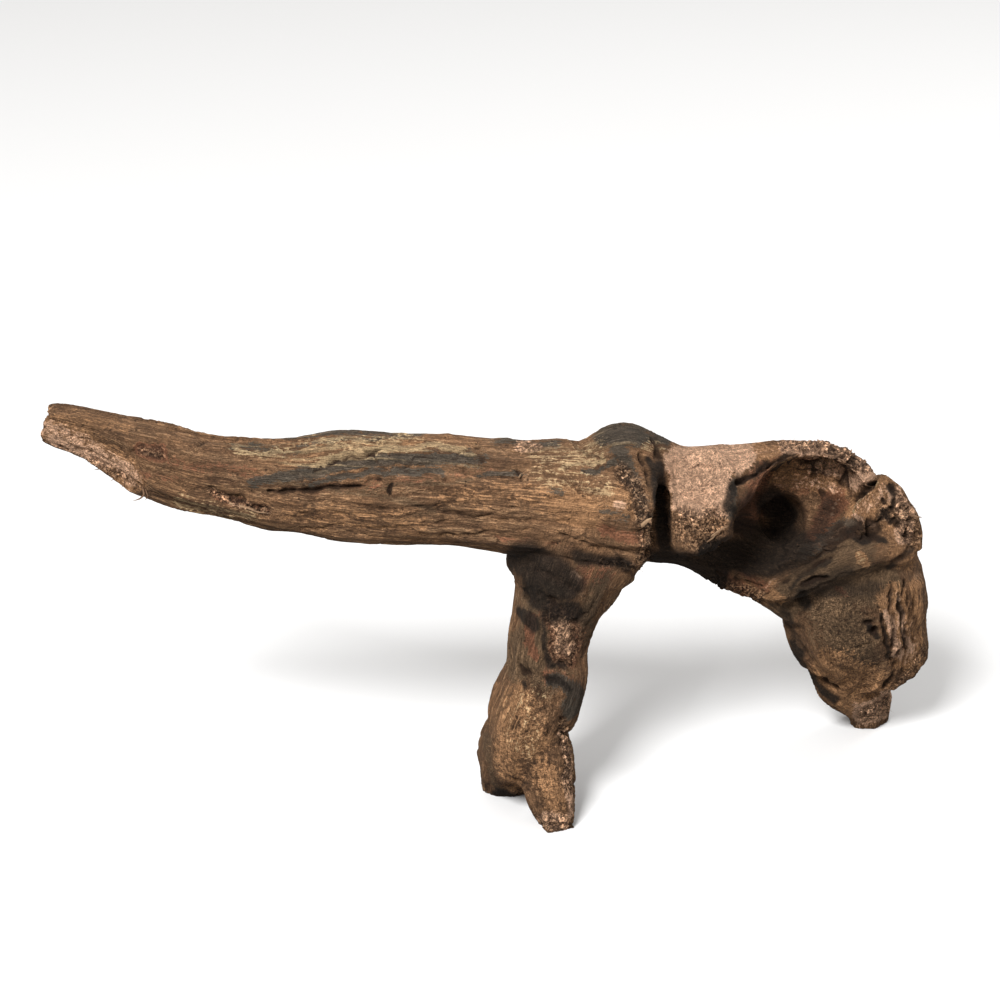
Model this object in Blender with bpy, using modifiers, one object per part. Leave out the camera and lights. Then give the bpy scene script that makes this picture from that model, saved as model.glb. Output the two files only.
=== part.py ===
"""Driftwood: one weathered root with a long tapering stem, a leg with a toe and a heel, and a hollow crown.

It is one solid. Every limb is a loft along a smooth path, the limbs are grown together by a voxel remesh,
the hollow is cut, the large ridges and grooves are raised along the grain, and three small pads at floor
height let it stand.
"""

from collections import namedtuple

import bmesh
import bpy
import numpy as np

MM = 0.001

# Sizes are in millimetres: X along the stem from its thin end, Y to the back, Z up from the floor.
# MIDDLE is the middle of the floor plan, which becomes the origin.
MIDDLE = (208.0, 60.5, 0.0)

ACROSS_Y = (0, 1, 0)
ACROSS_X = (1, 0, 0)

# A limb's stations are x, y, z, half height and half depth; depth lies along the limb's side axis.
# Squareness 2 gives an elliptic section, and more makes it boxier.
Limb = namedtuple("Limb", "name side squareness stations")
# A mark is a line on the skin that sinks by depth, or rises where depth is negative. Its points are across
# and up in millimetres on the sight plane, which is seen from EYE, square to the line of sight through AIM.
Mark = namedtuple("Mark", "name width depth points")
EYE = (206.0, -1092.9, 680.9)
AIM = (206.0, 40.0, 152.6)

LIMBS = (
    Limb("stem", ACROSS_Y, 2.2, (
        (4, 32, 193.8, 10, 10),
        (26, 33, 186.5, 12.2, 12),
        (40, 33, 180, 14.6, 14),
        (53, 34, 175, 15.6, 16),
        (74, 34, 168.5, 17, 18),
        (95, 35, 165.5, 18.5, 20),
        (117, 35, 163, 20.8, 22.5),
        (138, 36, 161.5, 24, 25),
        (167, 36, 160.5, 24, 26),
        (195, 36, 158, 24, 26),
        (224, 36, 155.5, 25.5, 27),
        (246, 37, 152, 27.5, 28),
        (271, 38, 147.5, 26, 27),
    )),
    Limb("leg", ACROSS_Y, 2.2, (
        (242, 38, 140, 34, 26),
        (236.5, 36, 124, 28, 24),
        (235, 36, 114, 22.5, 22),
        (232, 35, 106, 19.8, 21),
        (229.5, 33, 95, 18.2, 20),
        (227, 31, 84, 17.8, 19),
        (227, 28, 73, 18.3, 18),
        (223.5, 26, 61, 20, 18),
        (219.5, 25, 51, 19.2, 18),
        (217.5, 25, 41, 17, 17),
        (217, 27, 30, 17.5, 16),
        (215, 30, 20, 13, 12),
    )),
    Limb("heel", ACROSS_Y, 2.6, (
        (217, 27, 52, 12, 11),
        (214.5, 30, 37, 15.5, 15),
        (212.5, 34, 24, 16, 14),
        (211, 40, 13, 14.8, 12),
        (209.5, 45, 4, 13, 10),
        (209.5, 47, -4, 11.5, 9),
    )),
    Limb("toe", ACROSS_Y, 2.2, (
        (223, 24, 46, 11, 10),
        (226, 21, 34, 13.5, 13),
        (228.5, 18, 22, 13, 12),
        (230, 15.5, 12, 11.5, 10.5),
        (231.5, 13.5, 6, 9.5, 8.5),
        (232.5, 12, 0, 7.5, 7),
        (232.5, 11, -5, 6, 6.5),
    )),
    Limb("hump", ACROSS_Y, 2.0, (
        (238, 37, 166, 8, 14),
        (249, 39, 173, 9.5, 16),
        (260, 42, 176, 11, 18),
        (273, 48, 170.5, 10.5, 16),
        (286, 57, 164, 9, 13),
    )),
    Limb("rim", ACROSS_Y, 2.0, (
        (282, 52, 165, 9, 14),
        (297, 56, 163, 8.5, 13),
        (311, 61, 161, 8, 12),
        (327, 68, 159.5, 8, 12),
        (342, 74, 157.5, 8, 12),
        (356, 78, 156.5, 8, 12),
        (365.5, 80, 151, 8, 12),
        (372, 80, 143.5, 8.5, 12),
        (377.5, 82, 130, 9, 14),
    )),
    Limb("back", ACROSS_Y, 2.6, (
        (250, 50, 145, 19, 12),
        (264, 57, 142, 24, 14),
        (280, 63, 137, 27, 14),
        (297, 68, 130.5, 25.5, 16),
        (318, 73, 116.5, 22.5, 19),
        (336, 77, 103, 19, 20),
        (352, 80, 90, 18, 22),
    )),
    Limb("stub", ACROSS_X, 2.8, (
        (300, 62, 136, 21, 14),
        (298, 48, 147, 22.5, 16),
        (296, 33, 158, 22, 16),
    )),
    Limb("tatter", ACROSS_X, 2.0, (
        (294, 36, 150, 12, 12),
        (292, 27, 141, 10, 9.5),
        (291.5, 21.5, 135, 6, 6),
    )),
    Limb("fold", ACROSS_Y, 2.0, (
        (347, 72, 159, 6, 8),
        (331, 60, 159, 8, 9),
        (318, 49, 159, 9, 9),
        (308, 40, 152, 8, 8),
        (302, 36, 143, 6, 7),
        (297, 33, 136, 5, 6),
    )),
    Limb("crown", ACROSS_Y, 2.3, (
        (304, 74, 134, 12, 16),
        (322, 77, 133, 25, 26),
        (345, 79, 129, 29, 29),
        (364, 81, 121, 28, 28),
        (382, 84, 111, 20, 22),
    )),
    Limb("lip", ACROSS_Y, 2.0, (
        (325, 66, 98, 6, 9),
        (338, 60, 101, 8, 10),
        (352, 56, 108, 9, 10),
        (366, 55, 115, 9, 10),
        (380, 60, 118, 9, 10),
        (391, 68, 116, 10, 12),
    )),
    Limb("foot", ACROSS_Y, 2.4, (
        (374, 79, 118, 26, 22),
        (371, 80.5, 100, 33, 28),
        (373.5, 83, 86, 34.5, 28.5),
        (375, 86, 72, 34.5, 27),
        (379, 90, 57, 31, 22),
        (381, 93, 46, 29.5, 18),
        (378.5, 96, 38, 24, 16),
        (378.5, 99, 30, 19, 13),
        (382.5, 102, 22, 16, 12),
        (386.5, 105, 14, 13, 10.5),
        (388.5, 108, 6, 11, 9.5),
        (389, 110, -4, 9.5, 8.5),
    )),
    Limb("ear", ACROSS_Y, 2.0, (
        (387, 66, 116, 15, 8),
        (388, 67, 127, 14, 5.5),
        (385.5, 68.5, 138, 10, 4.5),
        (380.5, 70, 152, 4, 3.5),
    )),
    Limb("burl", ACROSS_Y, 2.2, (
        (390, 74, 131, 8, 9),
        (393, 78, 124, 9.5, 12),
        (392, 82, 110, 10, 16),
        (394, 86, 94, 10, 16),
    )),
)

# Cutters are lofts too: the bowl of the crown, a trough that runs out of it under the stub, the passage
# behind them, the kerf between the stem's broken end and the stub, the split face of the thin end and the
# broken corner of the crown's foot.
CUTTERS = (
    Limb("bowl", ACROSS_X, 2.0, (
        (352, 24, 160, 21, 29),
        (349, 46, 148, 21, 28),
        (348, 62, 142, 20, 27),
        (347, 73, 138.5, 19, 25.5),
        (346, 80, 136.5, 16.5, 22),
    )),
    Limb("trough", ACROSS_Y, 2.0, (
        (282, 36, 112, 10, 10),
        (296, 42, 119, 12, 13),
        (310, 48, 122, 13, 14),
        (324, 56, 124, 14, 15),
        (340, 68, 128, 14, 15),
    )),
    Limb("passage", ACROSS_X, 2.0, (
        (339, 62, 130, 13, 12),
        (337.5, 82, 124, 12.5, 11.5),
        (336, 95, 120, 8, 8),
    )),
    Limb("kerf", ACROSS_X, 3.0, (
        (277, -6, 142, 24, 4.6),
        (277.5, 20, 140, 24, 4.4),
        (278, 36, 138, 23, 4.2),
        (279, 46, 137, 20, 3.6),
    )),
    Limb("split", (0, 0.12, -0.99), 10, (
        (-8, 12.5, 192, 14, 13.2),
        (12, 12.3, 185, 14, 13.2),
        (32, 11.8, 178.4, 14, 13.2),
        (39, 10.5, 170, 14, 13.2),
        (47, 8, 158, 14, 13.2),
        (58, 3, 146, 14, 13.2),
    )),
    Limb("break", (0.65, 0, 0.76), 10, (
        (416.2, 68, 36.8, 15, 14),
        (416.2, 95, 24.2, 15, 14),
        (416.2, 122, 11.6, 15, 14),
    )),
)

MARKS = (
    Mark("long crack", 1.8, 3.0, ((-103.5, 3.5), (-90, 4), (-72, 5.5), (-61.5, 6.5), (-54.5, 9))),
    Mark("upper layer edge", 2.2, 1.6, (
        (-84.5, 13.5), (-67.5, 17.5), (-49.5, 22.5), (-31.5, 22), (-15, 20.5),
    )),
    Mark("top layer edge", 2.0, 1.2, ((-96, 26.5), (-72, 27), (-37.5, 27))),
    Mark("dark band edge", 2.0, 1.6, ((-102.5, 10.5), (-81, 13), (-54, 14.5), (-27, 16.5), (-10, 20))),
    Mark("upper bark edge", 1.8, 1.2, ((-122.5, 26.5), (-107, 22.5), (-90, 20), (-70, 22.5))),
    Mark("ring groove", 2.4, 1.6, ((-148, 28.5), (-147, 20), (-148, 11.5))),
    Mark("curved crack", 1.8, 2.2, ((-132.5, 27), (-134.5, 23), (-138.5, 19.5))),
    Mark("frayed scar", 3.0, 2.2, ((-129, 2.5), (-117, 0), (-105, -5.5))),
    Mark("upright crack", 1.5, 2.6, ((-49, 8.5), (-49, 2))),
    Mark("exit hole", 1.7, 4.0, ((-8.5, 18.5), (-8.5, 18))),
    Mark("short crack", 1.6, 1.8, ((-13.5, 10), (-1.5, 11), (9.5, 9.5))),
    Mark("long groove", 2.2, 1.6, (
        (-90, -5.5), (-54, -7.5), (-18, -8), (18, -9.5), (45, -13), (65.5, -15.5),
    )),
    Mark("low groove", 2.2, 1.5, ((-36, -15.5), (0, -16), (36, -20.5), (63.5, -24))),
    Mark("middle groove", 2.0, 1.4, ((-27, 2), (9, 0.5), (40.5, -1.5), (55, -5.5))),
    Mark("collar groove", 4.0, 2.2, ((43.5, 11), (46.5, 21.5), (51, 29.5))),
    Mark("torn end groove", 2.5, 1.8, ((53, 11.5), (57.5, 2), (60.5, -10))),
    Mark("kerf crack", 2.2, 4.0, ((63, 21.5), (65.5, 14.5), (68, 6.5))),
    Mark("stub top groove", 2.8, 3.0, ((70, 28), (72, 21.5), (74, 14.5))),
    Mark("flap gap", 2.8, 6.0, ((107, 7.5), (115.5, 13), (124, 17), (132, 21))),
    Mark("rim crack", 1.8, 2.6, ((133, 19), (142, 17), (151, 19), (156, 20))),
    Mark("inner crack", 1.8, 2.2, ((140.5, 16), (142, 8.5), (145.5, 1.5))),
    Mark("second inner crack", 1.8, 2.0, ((153, 17), (155.5, 10), (158.5, 2.5))),
    Mark("ear notch", 2.2, 5.0, ((160.5, 0.5), (164.5, 5), (168.5, 8.5))),
    Mark("hollow under the ear", 6.0, 6.0, ((148.5, -18.5), (154, -15), (160.5, -13), (168.5, -13.5))),
    Mark("left pit", 1.8, 3.0, ((158.5, -12), (159, -12.5))),
    Mark("right pit", 1.8, 3.0, ((162.5, -16), (163, -16))),
    Mark("lip ridge", 4.0, -1.6, ((122.5, -40.5), (135, -30.5), (151, -19), (157.5, -14.5))),
    Mark("lip fold", 1.8, 2.0, ((127, -38), (137.5, -32), (148.5, -25))),
    Mark("slit under the lip", 2.6, 4.0, ((137.5, -39), (142, -35), (145.5, -35.5))),
    Mark("oval pit", 5.0, 4.0, ((136.5, -45), (138.5, -47))),
    Mark("crease under the lip", 3.0, 1.5, (
        (126, -51.5), (135, -45), (142.5, -40.5), (150, -32.5), (163, -27.5), (175.5, -29.5), (185.5, -25),
    )),
    Mark("upper hole", 2.6, 4.5, ((165.5, -56), (166, -56))),
    Mark("lower hole", 2.6, 4.5, ((168.5, -59.5), (168.5, -60.5))),
    Mark("right groove", 2.2, 2.4, ((176.5, -38), (175.5, -50), (178, -60), (176, -72.5))),
    Mark("second right groove", 2.0, 2.4, ((182, -36), (180.5, -47), (183.5, -58), (183, -69))),
    Mark("third right groove", 1.8, 1.8, ((187.5, -45), (187, -54), (189.5, -61))),
    Mark("crescent fold", 4.0, 2.8, ((129.5, -47), (131, -56.5), (134, -67.5), (142, -77.5), (153, -86.5))),
    Mark("step groove", 2.6, 2.6, ((181, -67.5), (177.5, -77.5), (173, -85.5))),
    Mark("leg shadow groove", 5.0, 3.0, ((8, -27), (20, -33), (35, -41.5))),
    Mark("leg hollow", 6.0, 4.0, ((13.5, -44), (23.5, -46))),
    Mark("leg scar", 4.0, 2.4, ((24, -55), (32.5, -56), (33.5, -65.5), (27.5, -67.5))),
    Mark("leg pit", 2.6, 3.0, ((9.5, -76), (10.5, -77))),
    Mark("flank groove", 2.6, 2.0, ((28, -73), (25, -84), (26, -97))),
    Mark("cleft", 3.0, 1.6, ((13, -122), (11, -131.5))),
    Mark("leg ridge", 4.0, -1.6, ((3.5, -40.5), (2, -56), (1, -73))),
    Mark("red lump", 5.0, -3.5, ((96.5, -36), (104.5, -38))),
    Mark("right rim notch", 2.4, 2.6, ((162, 20), (157.5, 13.5))),
)

# Rings along a limb's loft, points around each, and samples of its path that the grain is read from.
RINGS = 48
AROUND = 40
GRAIN_SAMPLES = 60

# Cell sizes of the two remeshes, the rounds of softening after each, and the triangles that are kept.
GROWN_VOXEL, GROWN_SOFTENING = 1.7, 8
CUT_VOXEL, CUT_SOFTENING = 1.6, 3
SOFTEN_FACTOR = 0.5
TRIANGLES = 11700

# Grain ridges are long along a limb and narrow across it, with a finer set on top. Lumps are round.
RIDGE_HEIGHT = 1.5
RIDGE_LENGTH = 70.0
RIDGE_SPACING = 8.5
RIDGE_LEVEL = 0.5
FINE_RIDGE_SHARE = 0.4
FINE_RIDGE_RATE = 2.3
LUMP_HEIGHT = 1.8
LUMP_SPACING = 26.0
LUMP_SHIFT = 7.0
# How fast one limb's grain gives way to the next where they meet.
GRAIN_BLEND = 6.0
NOISE_CELLS = 32
SEED = 41

# The block below the floor that cuts the pads flat: length, width and depth.
FLOOR_BLOCK = (600.0, 300.0, 30.0)
WOOD_COLOR = (0.167, 0.104, 0.063)
WOOD_ROUGHNESS = 0.85


def smooth_path(stations, count):
    """Rows of a Catmull-Rom curve through the stations, count of them."""
    rows = np.array(stations, float)
    held = np.vstack((2 * rows[0] - rows[1], rows, 2 * rows[-1] - rows[-2]))
    at = np.linspace(0, len(rows) - 1, count)
    start = np.minimum(at.astype(int), len(rows) - 2)
    u = (at - start)[:, None]
    before, first, second, after = (held[start + k] for k in range(4))
    return 0.5 * (
        2 * first
        + (second - before) * u
        + (2 * before - 5 * first + 4 * second - after) * u**2
        + (3 * first - before - 3 * second + after) * u**3
    )


def unit(rows):
    """Each row at length one."""
    return rows / np.linalg.norm(rows, axis=-1, keepdims=True)


def frames(limb, count):
    """Centres, tangents, up and side axes, and half sizes along a limb."""
    rows = smooth_path(limb.stations, count)
    centres = rows[:, :3] - MIDDLE
    tangents = unit(np.gradient(centres, axis=0))
    side = np.array(limb.side, float)
    sides = unit(side - (tangents @ side)[:, None] * tangents)
    ups = np.cross(sides, tangents)
    return centres, tangents, ups, sides, rows[:, 3], rows[:, 4]


def loft(limb):
    """Points and faces of one limb: a superellipse carried along the limb's path, closed by flat ends."""
    centres, _, ups, sides, half_height, half_depth = frames(limb, RINGS)
    angle = np.linspace(0, 2 * np.pi, AROUND, endpoint=False)
    c, s = np.cos(angle), np.sin(angle)
    bulge = (abs(c) ** limb.squareness + abs(s) ** limb.squareness) ** (-1 / limb.squareness)
    points = (
        centres[:, None]
        + (half_height[:, None] * bulge * c)[..., None] * ups[:, None]
        + (half_depth[:, None] * bulge * s)[..., None] * sides[:, None]
    ).reshape(-1, 3)
    ring, step = np.meshgrid(np.arange(RINGS - 1), np.arange(AROUND), indexing="ij")
    a = (ring * AROUND + step).ravel()
    b = (ring * AROUND + (step + 1) % AROUND).ravel()
    faces = np.stack((a, b, b + AROUND, a + AROUND), axis=1).tolist()
    faces.append(list(range(AROUND))[::-1])
    faces.append(list(range((RINGS - 1) * AROUND, RINGS * AROUND)))
    return points, faces


def object_of(name, limbs, collection):
    """One object that holds the lofts of these limbs, as closed shells that overlap."""
    points, faces, first = [], [], 0
    for limb in limbs:
        limb_points, limb_faces = loft(limb)
        points.append(limb_points)
        faces += [[first + corner for corner in face] for face in limb_faces]
        first += len(limb_points)
    mesh = bpy.data.meshes.new(name)
    mesh.from_pydata(np.concatenate(points) * MM, [], faces)
    shape = bmesh.new()
    shape.from_mesh(mesh)
    bmesh.ops.recalc_face_normals(shape, faces=shape.faces)
    shape.to_mesh(mesh)
    shape.free()
    made = bpy.data.objects.new(name, mesh)
    collection.objects.link(made)
    return made


def below_floor(collection):
    """A block whose top lies at floor height."""
    length, width, depth = (size * MM for size in FLOOR_BLOCK)
    mesh = bpy.data.meshes.new("below floor")
    shape = bmesh.new()
    bmesh.ops.create_cube(shape, size=1)
    bmesh.ops.scale(shape, verts=shape.verts, vec=(length, width, depth))
    bmesh.ops.translate(shape, verts=shape.verts, vec=(0, 0, -depth / 2))
    shape.to_mesh(mesh)
    shape.free()
    block = bpy.data.objects.new("below floor", mesh)
    collection.objects.link(block)
    return block


def remesh(obj, voxel, softening):
    """Grows overlapping shells into one skin and rounds the creases between them."""
    skin = obj.modifiers.new("Grow together", "REMESH")
    skin.mode = "VOXEL"
    skin.voxel_size = voxel * MM
    soften = obj.modifiers.new("Soften", "SMOOTH")
    soften.factor = SOFTEN_FACTOR
    soften.iterations = softening


def cut(obj, cutter):
    """Takes the cutter's shape away from the object."""
    cutter.hide_render = True
    cutter.display_type = "WIRE"
    difference = obj.modifiers.new(cutter.name, "BOOLEAN")
    difference.operation = "DIFFERENCE"
    difference.object = cutter


def bake_modifiers(obj):
    """Puts the evaluated shape in the object's own mesh."""
    bpy.context.view_layer.update()
    graph = bpy.context.evaluated_depsgraph_get()
    shaped = bpy.data.meshes.new_from_object(obj.evaluated_get(graph))
    obj.modifiers.clear()
    obj.data = shaped


def value_noise(points, seed):
    """Smooth noise between -1 and 1 from random values on the corners of unit cubes."""
    table = np.random.default_rng(seed).uniform(-1, 1, (NOISE_CELLS,) * 3)
    cell = np.floor(points).astype(int)
    part = points - cell
    part = part * part * (3 - 2 * part)
    total = np.zeros(len(points))
    for corner in np.ndindex(2, 2, 2):
        weight = np.prod(np.where(corner, part, 1 - part), axis=1)
        total += weight * table[tuple(((cell + corner) % NOISE_CELLS).T)]
    return total


def grain_height(points):
    """Height of the ridges that run along the nearest limb, blended where limbs meet."""
    total = np.zeros(len(points))
    weights = np.full(len(points), np.finfo(float).tiny)
    row = np.arange(len(points))
    for number, limb in enumerate(LIMBS):
        centres, tangents, ups, sides, half_height, half_depth = frames(limb, GRAIN_SAMPLES)
        steps = np.linalg.norm(np.diff(centres, axis=0), axis=1)
        along = np.concatenate(([0], np.cumsum(steps)))
        away = points[:, None] - centres
        reach = 2 * np.linalg.norm(away, axis=2) / (half_height + half_depth)
        near = reach.argmin(axis=1)
        offset = away[row, near]
        length = along[near] + (offset * tangents[near]).sum(axis=1)
        across = ((offset * axes[near]).sum(axis=1) for axes in (ups, sides))
        at = np.column_stack((length / RIDGE_LENGTH, *(side / RIDGE_SPACING for side in across)))
        ridge = RIDGE_LEVEL - 2 * abs(value_noise(at, SEED + number))
        ridge += FINE_RIDGE_SHARE * value_noise(FINE_RIDGE_RATE * at, SEED - number)
        weight = np.exp(-GRAIN_BLEND * reach[row, near])
        total += weight * ridge
        weights += weight
    return total / weights


def on_sight_plane(points):
    """Across and up of each point on the sight plane, and its direction to the eye."""
    sight = np.subtract(AIM, EYE)
    across = np.array((1.0, 0.0, 0.0))
    up = np.cross(across, unit(sight))
    away = points + MIDDLE - EYE
    scale = (sight @ sight) / (away @ sight)
    return np.column_stack((away @ across * scale, away @ up * scale)), unit(-away)


def mark_depth(points, normals):
    """How far the marks press the skin in, on the side that faces the eye."""
    spots, to_eye = on_sight_plane(points)
    facing = (normals * to_eye).sum(axis=1)
    total = np.zeros(len(points))
    for mark in MARKS:
        line = np.array(mark.points, float)
        away = np.full(len(points), np.inf)
        for first, second in zip(line[:-1], line[1:]):
            step = second - first
            share = np.clip((spots - first) @ step / (step @ step), 0, 1)
            away = np.minimum(away, np.linalg.norm(spots - first - share[:, None] * step, axis=1))
        total += mark.depth * np.exp(-((away / mark.width) ** 2))
    return total * np.clip(2 * facing, 0, 1)


def weather(obj):
    """Moves every point of the skin along its normal by the lumps, the grain ridges and the marks."""
    mesh = obj.data
    points = np.empty(3 * len(mesh.vertices))
    normals = np.empty(3 * len(mesh.vertices))
    mesh.vertices.foreach_get("co", points)
    mesh.vertices.foreach_get("normal", normals)
    points = points.reshape(-1, 3) / MM
    normals = normals.reshape(-1, 3)
    height = (
        RIDGE_HEIGHT * grain_height(points)
        + LUMP_HEIGHT * value_noise(points / LUMP_SPACING + LUMP_SHIFT, SEED)
        - mark_depth(points, normals)
    )
    mesh.vertices.foreach_set("co", ((points + height[:, None] * normals) * MM).ravel())
    mesh.update()


def weathered_wood():
    """The wood's material."""
    material = bpy.data.materials.new("weathered wood")
    material.use_nodes = True
    surface = material.node_tree.nodes["Principled BSDF"]
    surface.inputs["Base Color"].default_value = (*WOOD_COLOR, 1)
    surface.inputs["Roughness"].default_value = WOOD_ROUGHNESS
    surface.inputs["Metallic"].default_value = 0
    return material


def main():
    """Grows the limbs together, cuts the hollows, weathers the skin and stands the part on its pads."""
    for old in list(bpy.data.objects):
        bpy.data.objects.remove(old, do_unlink=True)
    wood = bpy.data.collections.new("Driftwood")
    cutting = bpy.data.collections.new("Cutters")
    for collection in (wood, cutting):
        bpy.context.scene.collection.children.link(collection)

    driftwood = object_of("driftwood", LIMBS, wood)
    remesh(driftwood, GROWN_VOXEL, GROWN_SOFTENING)
    for limb in CUTTERS:
        cut(driftwood, object_of(limb.name, (limb,), cutting))
    remesh(driftwood, CUT_VOXEL, CUT_SOFTENING)
    bake_modifiers(driftwood)
    weather(driftwood)

    fewer = driftwood.modifiers.new("Fewer faces", "DECIMATE")
    fewer.ratio = TRIANGLES / (2 * len(driftwood.data.polygons))
    cut(driftwood, below_floor(cutting))
    bake_modifiers(driftwood)
    driftwood.data.shade_smooth()
    driftwood.data.materials.append(weathered_wood())


main()
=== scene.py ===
"""Driftwood, dressed for its picture: a weathered root with a tapering stem, a leg and a hollow crown.

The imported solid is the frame. Its skin is grown again from the same limbs on a finer cell and gets what the
solid is too coarse for: fine grain, bark layers, narrow cracks and torn wood. One wood finish paints it by
named patches, and splinters and fibres stand on its torn places.

Lengths are in millimetres in the drawing frame of the limbs: X along the stem from its thin end, Y to the
back, Z up from the floor. MIDDLE is the point of the floor plan that becomes the row frame's origin.
"""

from __future__ import annotations

import sys

import logging
from dataclasses import dataclass
from enum import Enum, IntEnum
from functools import reduce
from typing import Callable, NamedTuple

import bmesh
import bpy
import numpy as np
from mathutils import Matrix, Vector

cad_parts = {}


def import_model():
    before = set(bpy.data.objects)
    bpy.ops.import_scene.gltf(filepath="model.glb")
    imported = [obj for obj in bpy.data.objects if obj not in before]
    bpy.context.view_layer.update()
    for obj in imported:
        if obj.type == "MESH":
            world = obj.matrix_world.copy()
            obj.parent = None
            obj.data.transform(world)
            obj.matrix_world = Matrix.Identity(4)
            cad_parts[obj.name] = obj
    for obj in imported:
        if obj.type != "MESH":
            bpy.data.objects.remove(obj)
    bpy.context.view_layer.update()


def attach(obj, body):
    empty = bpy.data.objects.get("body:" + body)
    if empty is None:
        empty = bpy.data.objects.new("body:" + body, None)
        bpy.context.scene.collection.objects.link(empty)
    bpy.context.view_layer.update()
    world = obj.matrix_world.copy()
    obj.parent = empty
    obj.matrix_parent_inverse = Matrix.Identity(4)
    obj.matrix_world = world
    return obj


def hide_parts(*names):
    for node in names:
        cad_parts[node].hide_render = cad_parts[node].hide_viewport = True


Array = np.ndarray
Point = tuple[float, float, float]
Spot = tuple[float, float]
Colour = tuple[float, float, float]
Socket = bpy.types.NodeSocket

log = logging.getLogger("driftwood")

MM = 0.001
MIDDLE: Point = (208.0, 60.5, 0.0)
NODE = "driftwood"
BODY = "root"

ACROSS_Y: Point = (0, 1, 0)
ACROSS_X: Point = (1, 0, 0)
# Both directions across a limb, in grain coordinates.
SIDEWAYS: Point = (0, 1, 1)

# Relief that the solid has too, with the solid's own values.
RIDGE_HEIGHT = 1.5
RIDGE_LENGTH = 70.0
RIDGE_SPACING = 8.5
RIDGE_LEVEL = 0.5
FINE_RIDGE_SHARE = 0.4
FINE_RIDGE_RATE = 2.3
LUMP_HEIGHT = 1.8
LUMP_SPACING = 26.0
LUMP_SHIFT = 7.0
GRAIN_BLEND = 6.0
SEED = 41

# Radius that tapered grain coordinates are scaled to, and how far one limb's pattern lies from the next one's.
TAPER_RADIUS = 22.0
LIMB_SHIFT = np.array((211.0, 37.0, 53.0))
# How far each octave of a noise lies from the one before.
OCTAVE_SHIFT = np.array((3.7, 8.1, 5.3))


class Tone(Enum):
    """What a stroke gives the wood. The value is the name of the mesh attribute that carries it."""

    PALE = "pale"
    TAN = "tan"
    OCHRE = "ochre"
    OLIVE = "olive"
    DARK = "dark"
    RED = "red"
    SHADE = "shade"
    TORN = "torn"
    LAYER = "layer"
    SMOOTH = "smooth"


RELIEF_TONES = (Tone.TORN, Tone.LAYER, Tone.SMOOTH)
COLOUR_TONES = tuple(tone for tone in Tone if tone is not Tone.LAYER)


def unit(rows: Array) -> Array:
    """Each row at length one."""
    return rows / np.maximum(np.linalg.norm(rows, axis=-1, keepdims=True), 1e-12)


def ease(value: Array, low: float, high: float) -> Array:
    """0 below low, 1 above high, and 3 t^2 - 2 t^3 between them."""
    t = np.clip((value - low) / (high - low), 0, 1)
    return t * t * (3 - 2 * t)


class Frames(NamedTuple):
    """What a limb is at each sample of its path, in the row frame's directions and millimetres."""

    centres: Array
    tangents: Array
    ups: Array
    sides: Array
    half_height: Array
    half_depth: Array


@dataclass(frozen=True)
class Limb:
    """A limb or a cutter: a superellipse carried along a smooth path through its stations.

    Attributes:
        name: The limb's name.
        side: The axis that a section's depth lies along.
        squareness: 2 is an ellipse, and more is boxier.
        stations: Rows of x, y, z, half height and half depth.
    """

    name: str
    side: Point
    squareness: float
    stations: tuple[tuple[float, float, float, float, float], ...]

    def rows(self, count: int) -> Array:
        """Rows of the Catmull-Rom curve through the stations.

        Args:
            count: How many rows.
        Returns:
            The rows, evenly spaced in the curve's parameter.
        """
        given = np.array(self.stations, float)
        held = np.vstack((2 * given[0] - given[1], given, 2 * given[-1] - given[-2]))
        at = np.linspace(0, len(given) - 1, count)
        start = np.minimum(at.astype(int), len(given) - 2)
        u = (at - start)[:, None]
        before, first, second, after = (held[start + k] for k in range(4))
        return 0.5 * (
            2 * first
            + (second - before) * u
            + (2 * before - 5 * first + 4 * second - after) * u**2
            + (3 * first - before - 3 * second + after) * u**3
        )

    def frames(self, count: int) -> Frames:
        """Centres, axes and half sizes along the path.

        Args:
            count: How many samples.
        Returns:
            The frames; up is side crossed with the tangent.
        """
        rows = self.rows(count)
        centres = rows[:, :3] - MIDDLE
        tangents = unit(np.gradient(centres, axis=0))
        side = np.array(self.side, float)
        sides = unit(side - (tangents @ side)[:, None] * tangents)
        return Frames(centres, tangents, np.cross(sides, tangents), sides, rows[:, 3], rows[:, 4])

    def shell(self, rings: int = 48, around: int = 40) -> tuple[Array, list[list[int]]]:
        """The closed surface of the limb.

        point(t, a) = centre(t) + half height(t) b cos a up(t) + half depth(t) b sin a side(t), with
        b = (|cos a|^n + |sin a|^n)^(-1/n) and n the squareness. Flat ends close it.

        Args:
            rings: Sections along the path.
            around: Points round each section.
        Returns:
            The points in millimetres and the faces.
        """
        along = self.frames(rings)
        angle = np.linspace(0, 2 * np.pi, around, endpoint=False)
        c, s = np.cos(angle), np.sin(angle)
        bulge = (abs(c) ** self.squareness + abs(s) ** self.squareness) ** (-1 / self.squareness)
        points = (
            along.centres[:, None]
            + (along.half_height[:, None] * bulge * c)[..., None] * along.ups[:, None]
            + (along.half_depth[:, None] * bulge * s)[..., None] * along.sides[:, None]
        ).reshape(-1, 3)
        return points, tube_faces(rings, around)


def tube_faces(rings: int, around: int) -> list[list[int]]:
    """Faces of a closed tube of rings, with one flat face at each end, all facing outwards."""
    ring, step = np.meshgrid(np.arange(rings - 1), np.arange(around), indexing="ij")
    a = (ring * around + step).ravel()
    b = (ring * around + (step + 1) % around).ravel()
    faces = np.stack((a, b, b + around, a + around), axis=1).tolist()
    faces.append(list(range(around))[::-1])
    faces.append(list(range((rings - 1) * around, rings * around)))
    return faces


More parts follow.
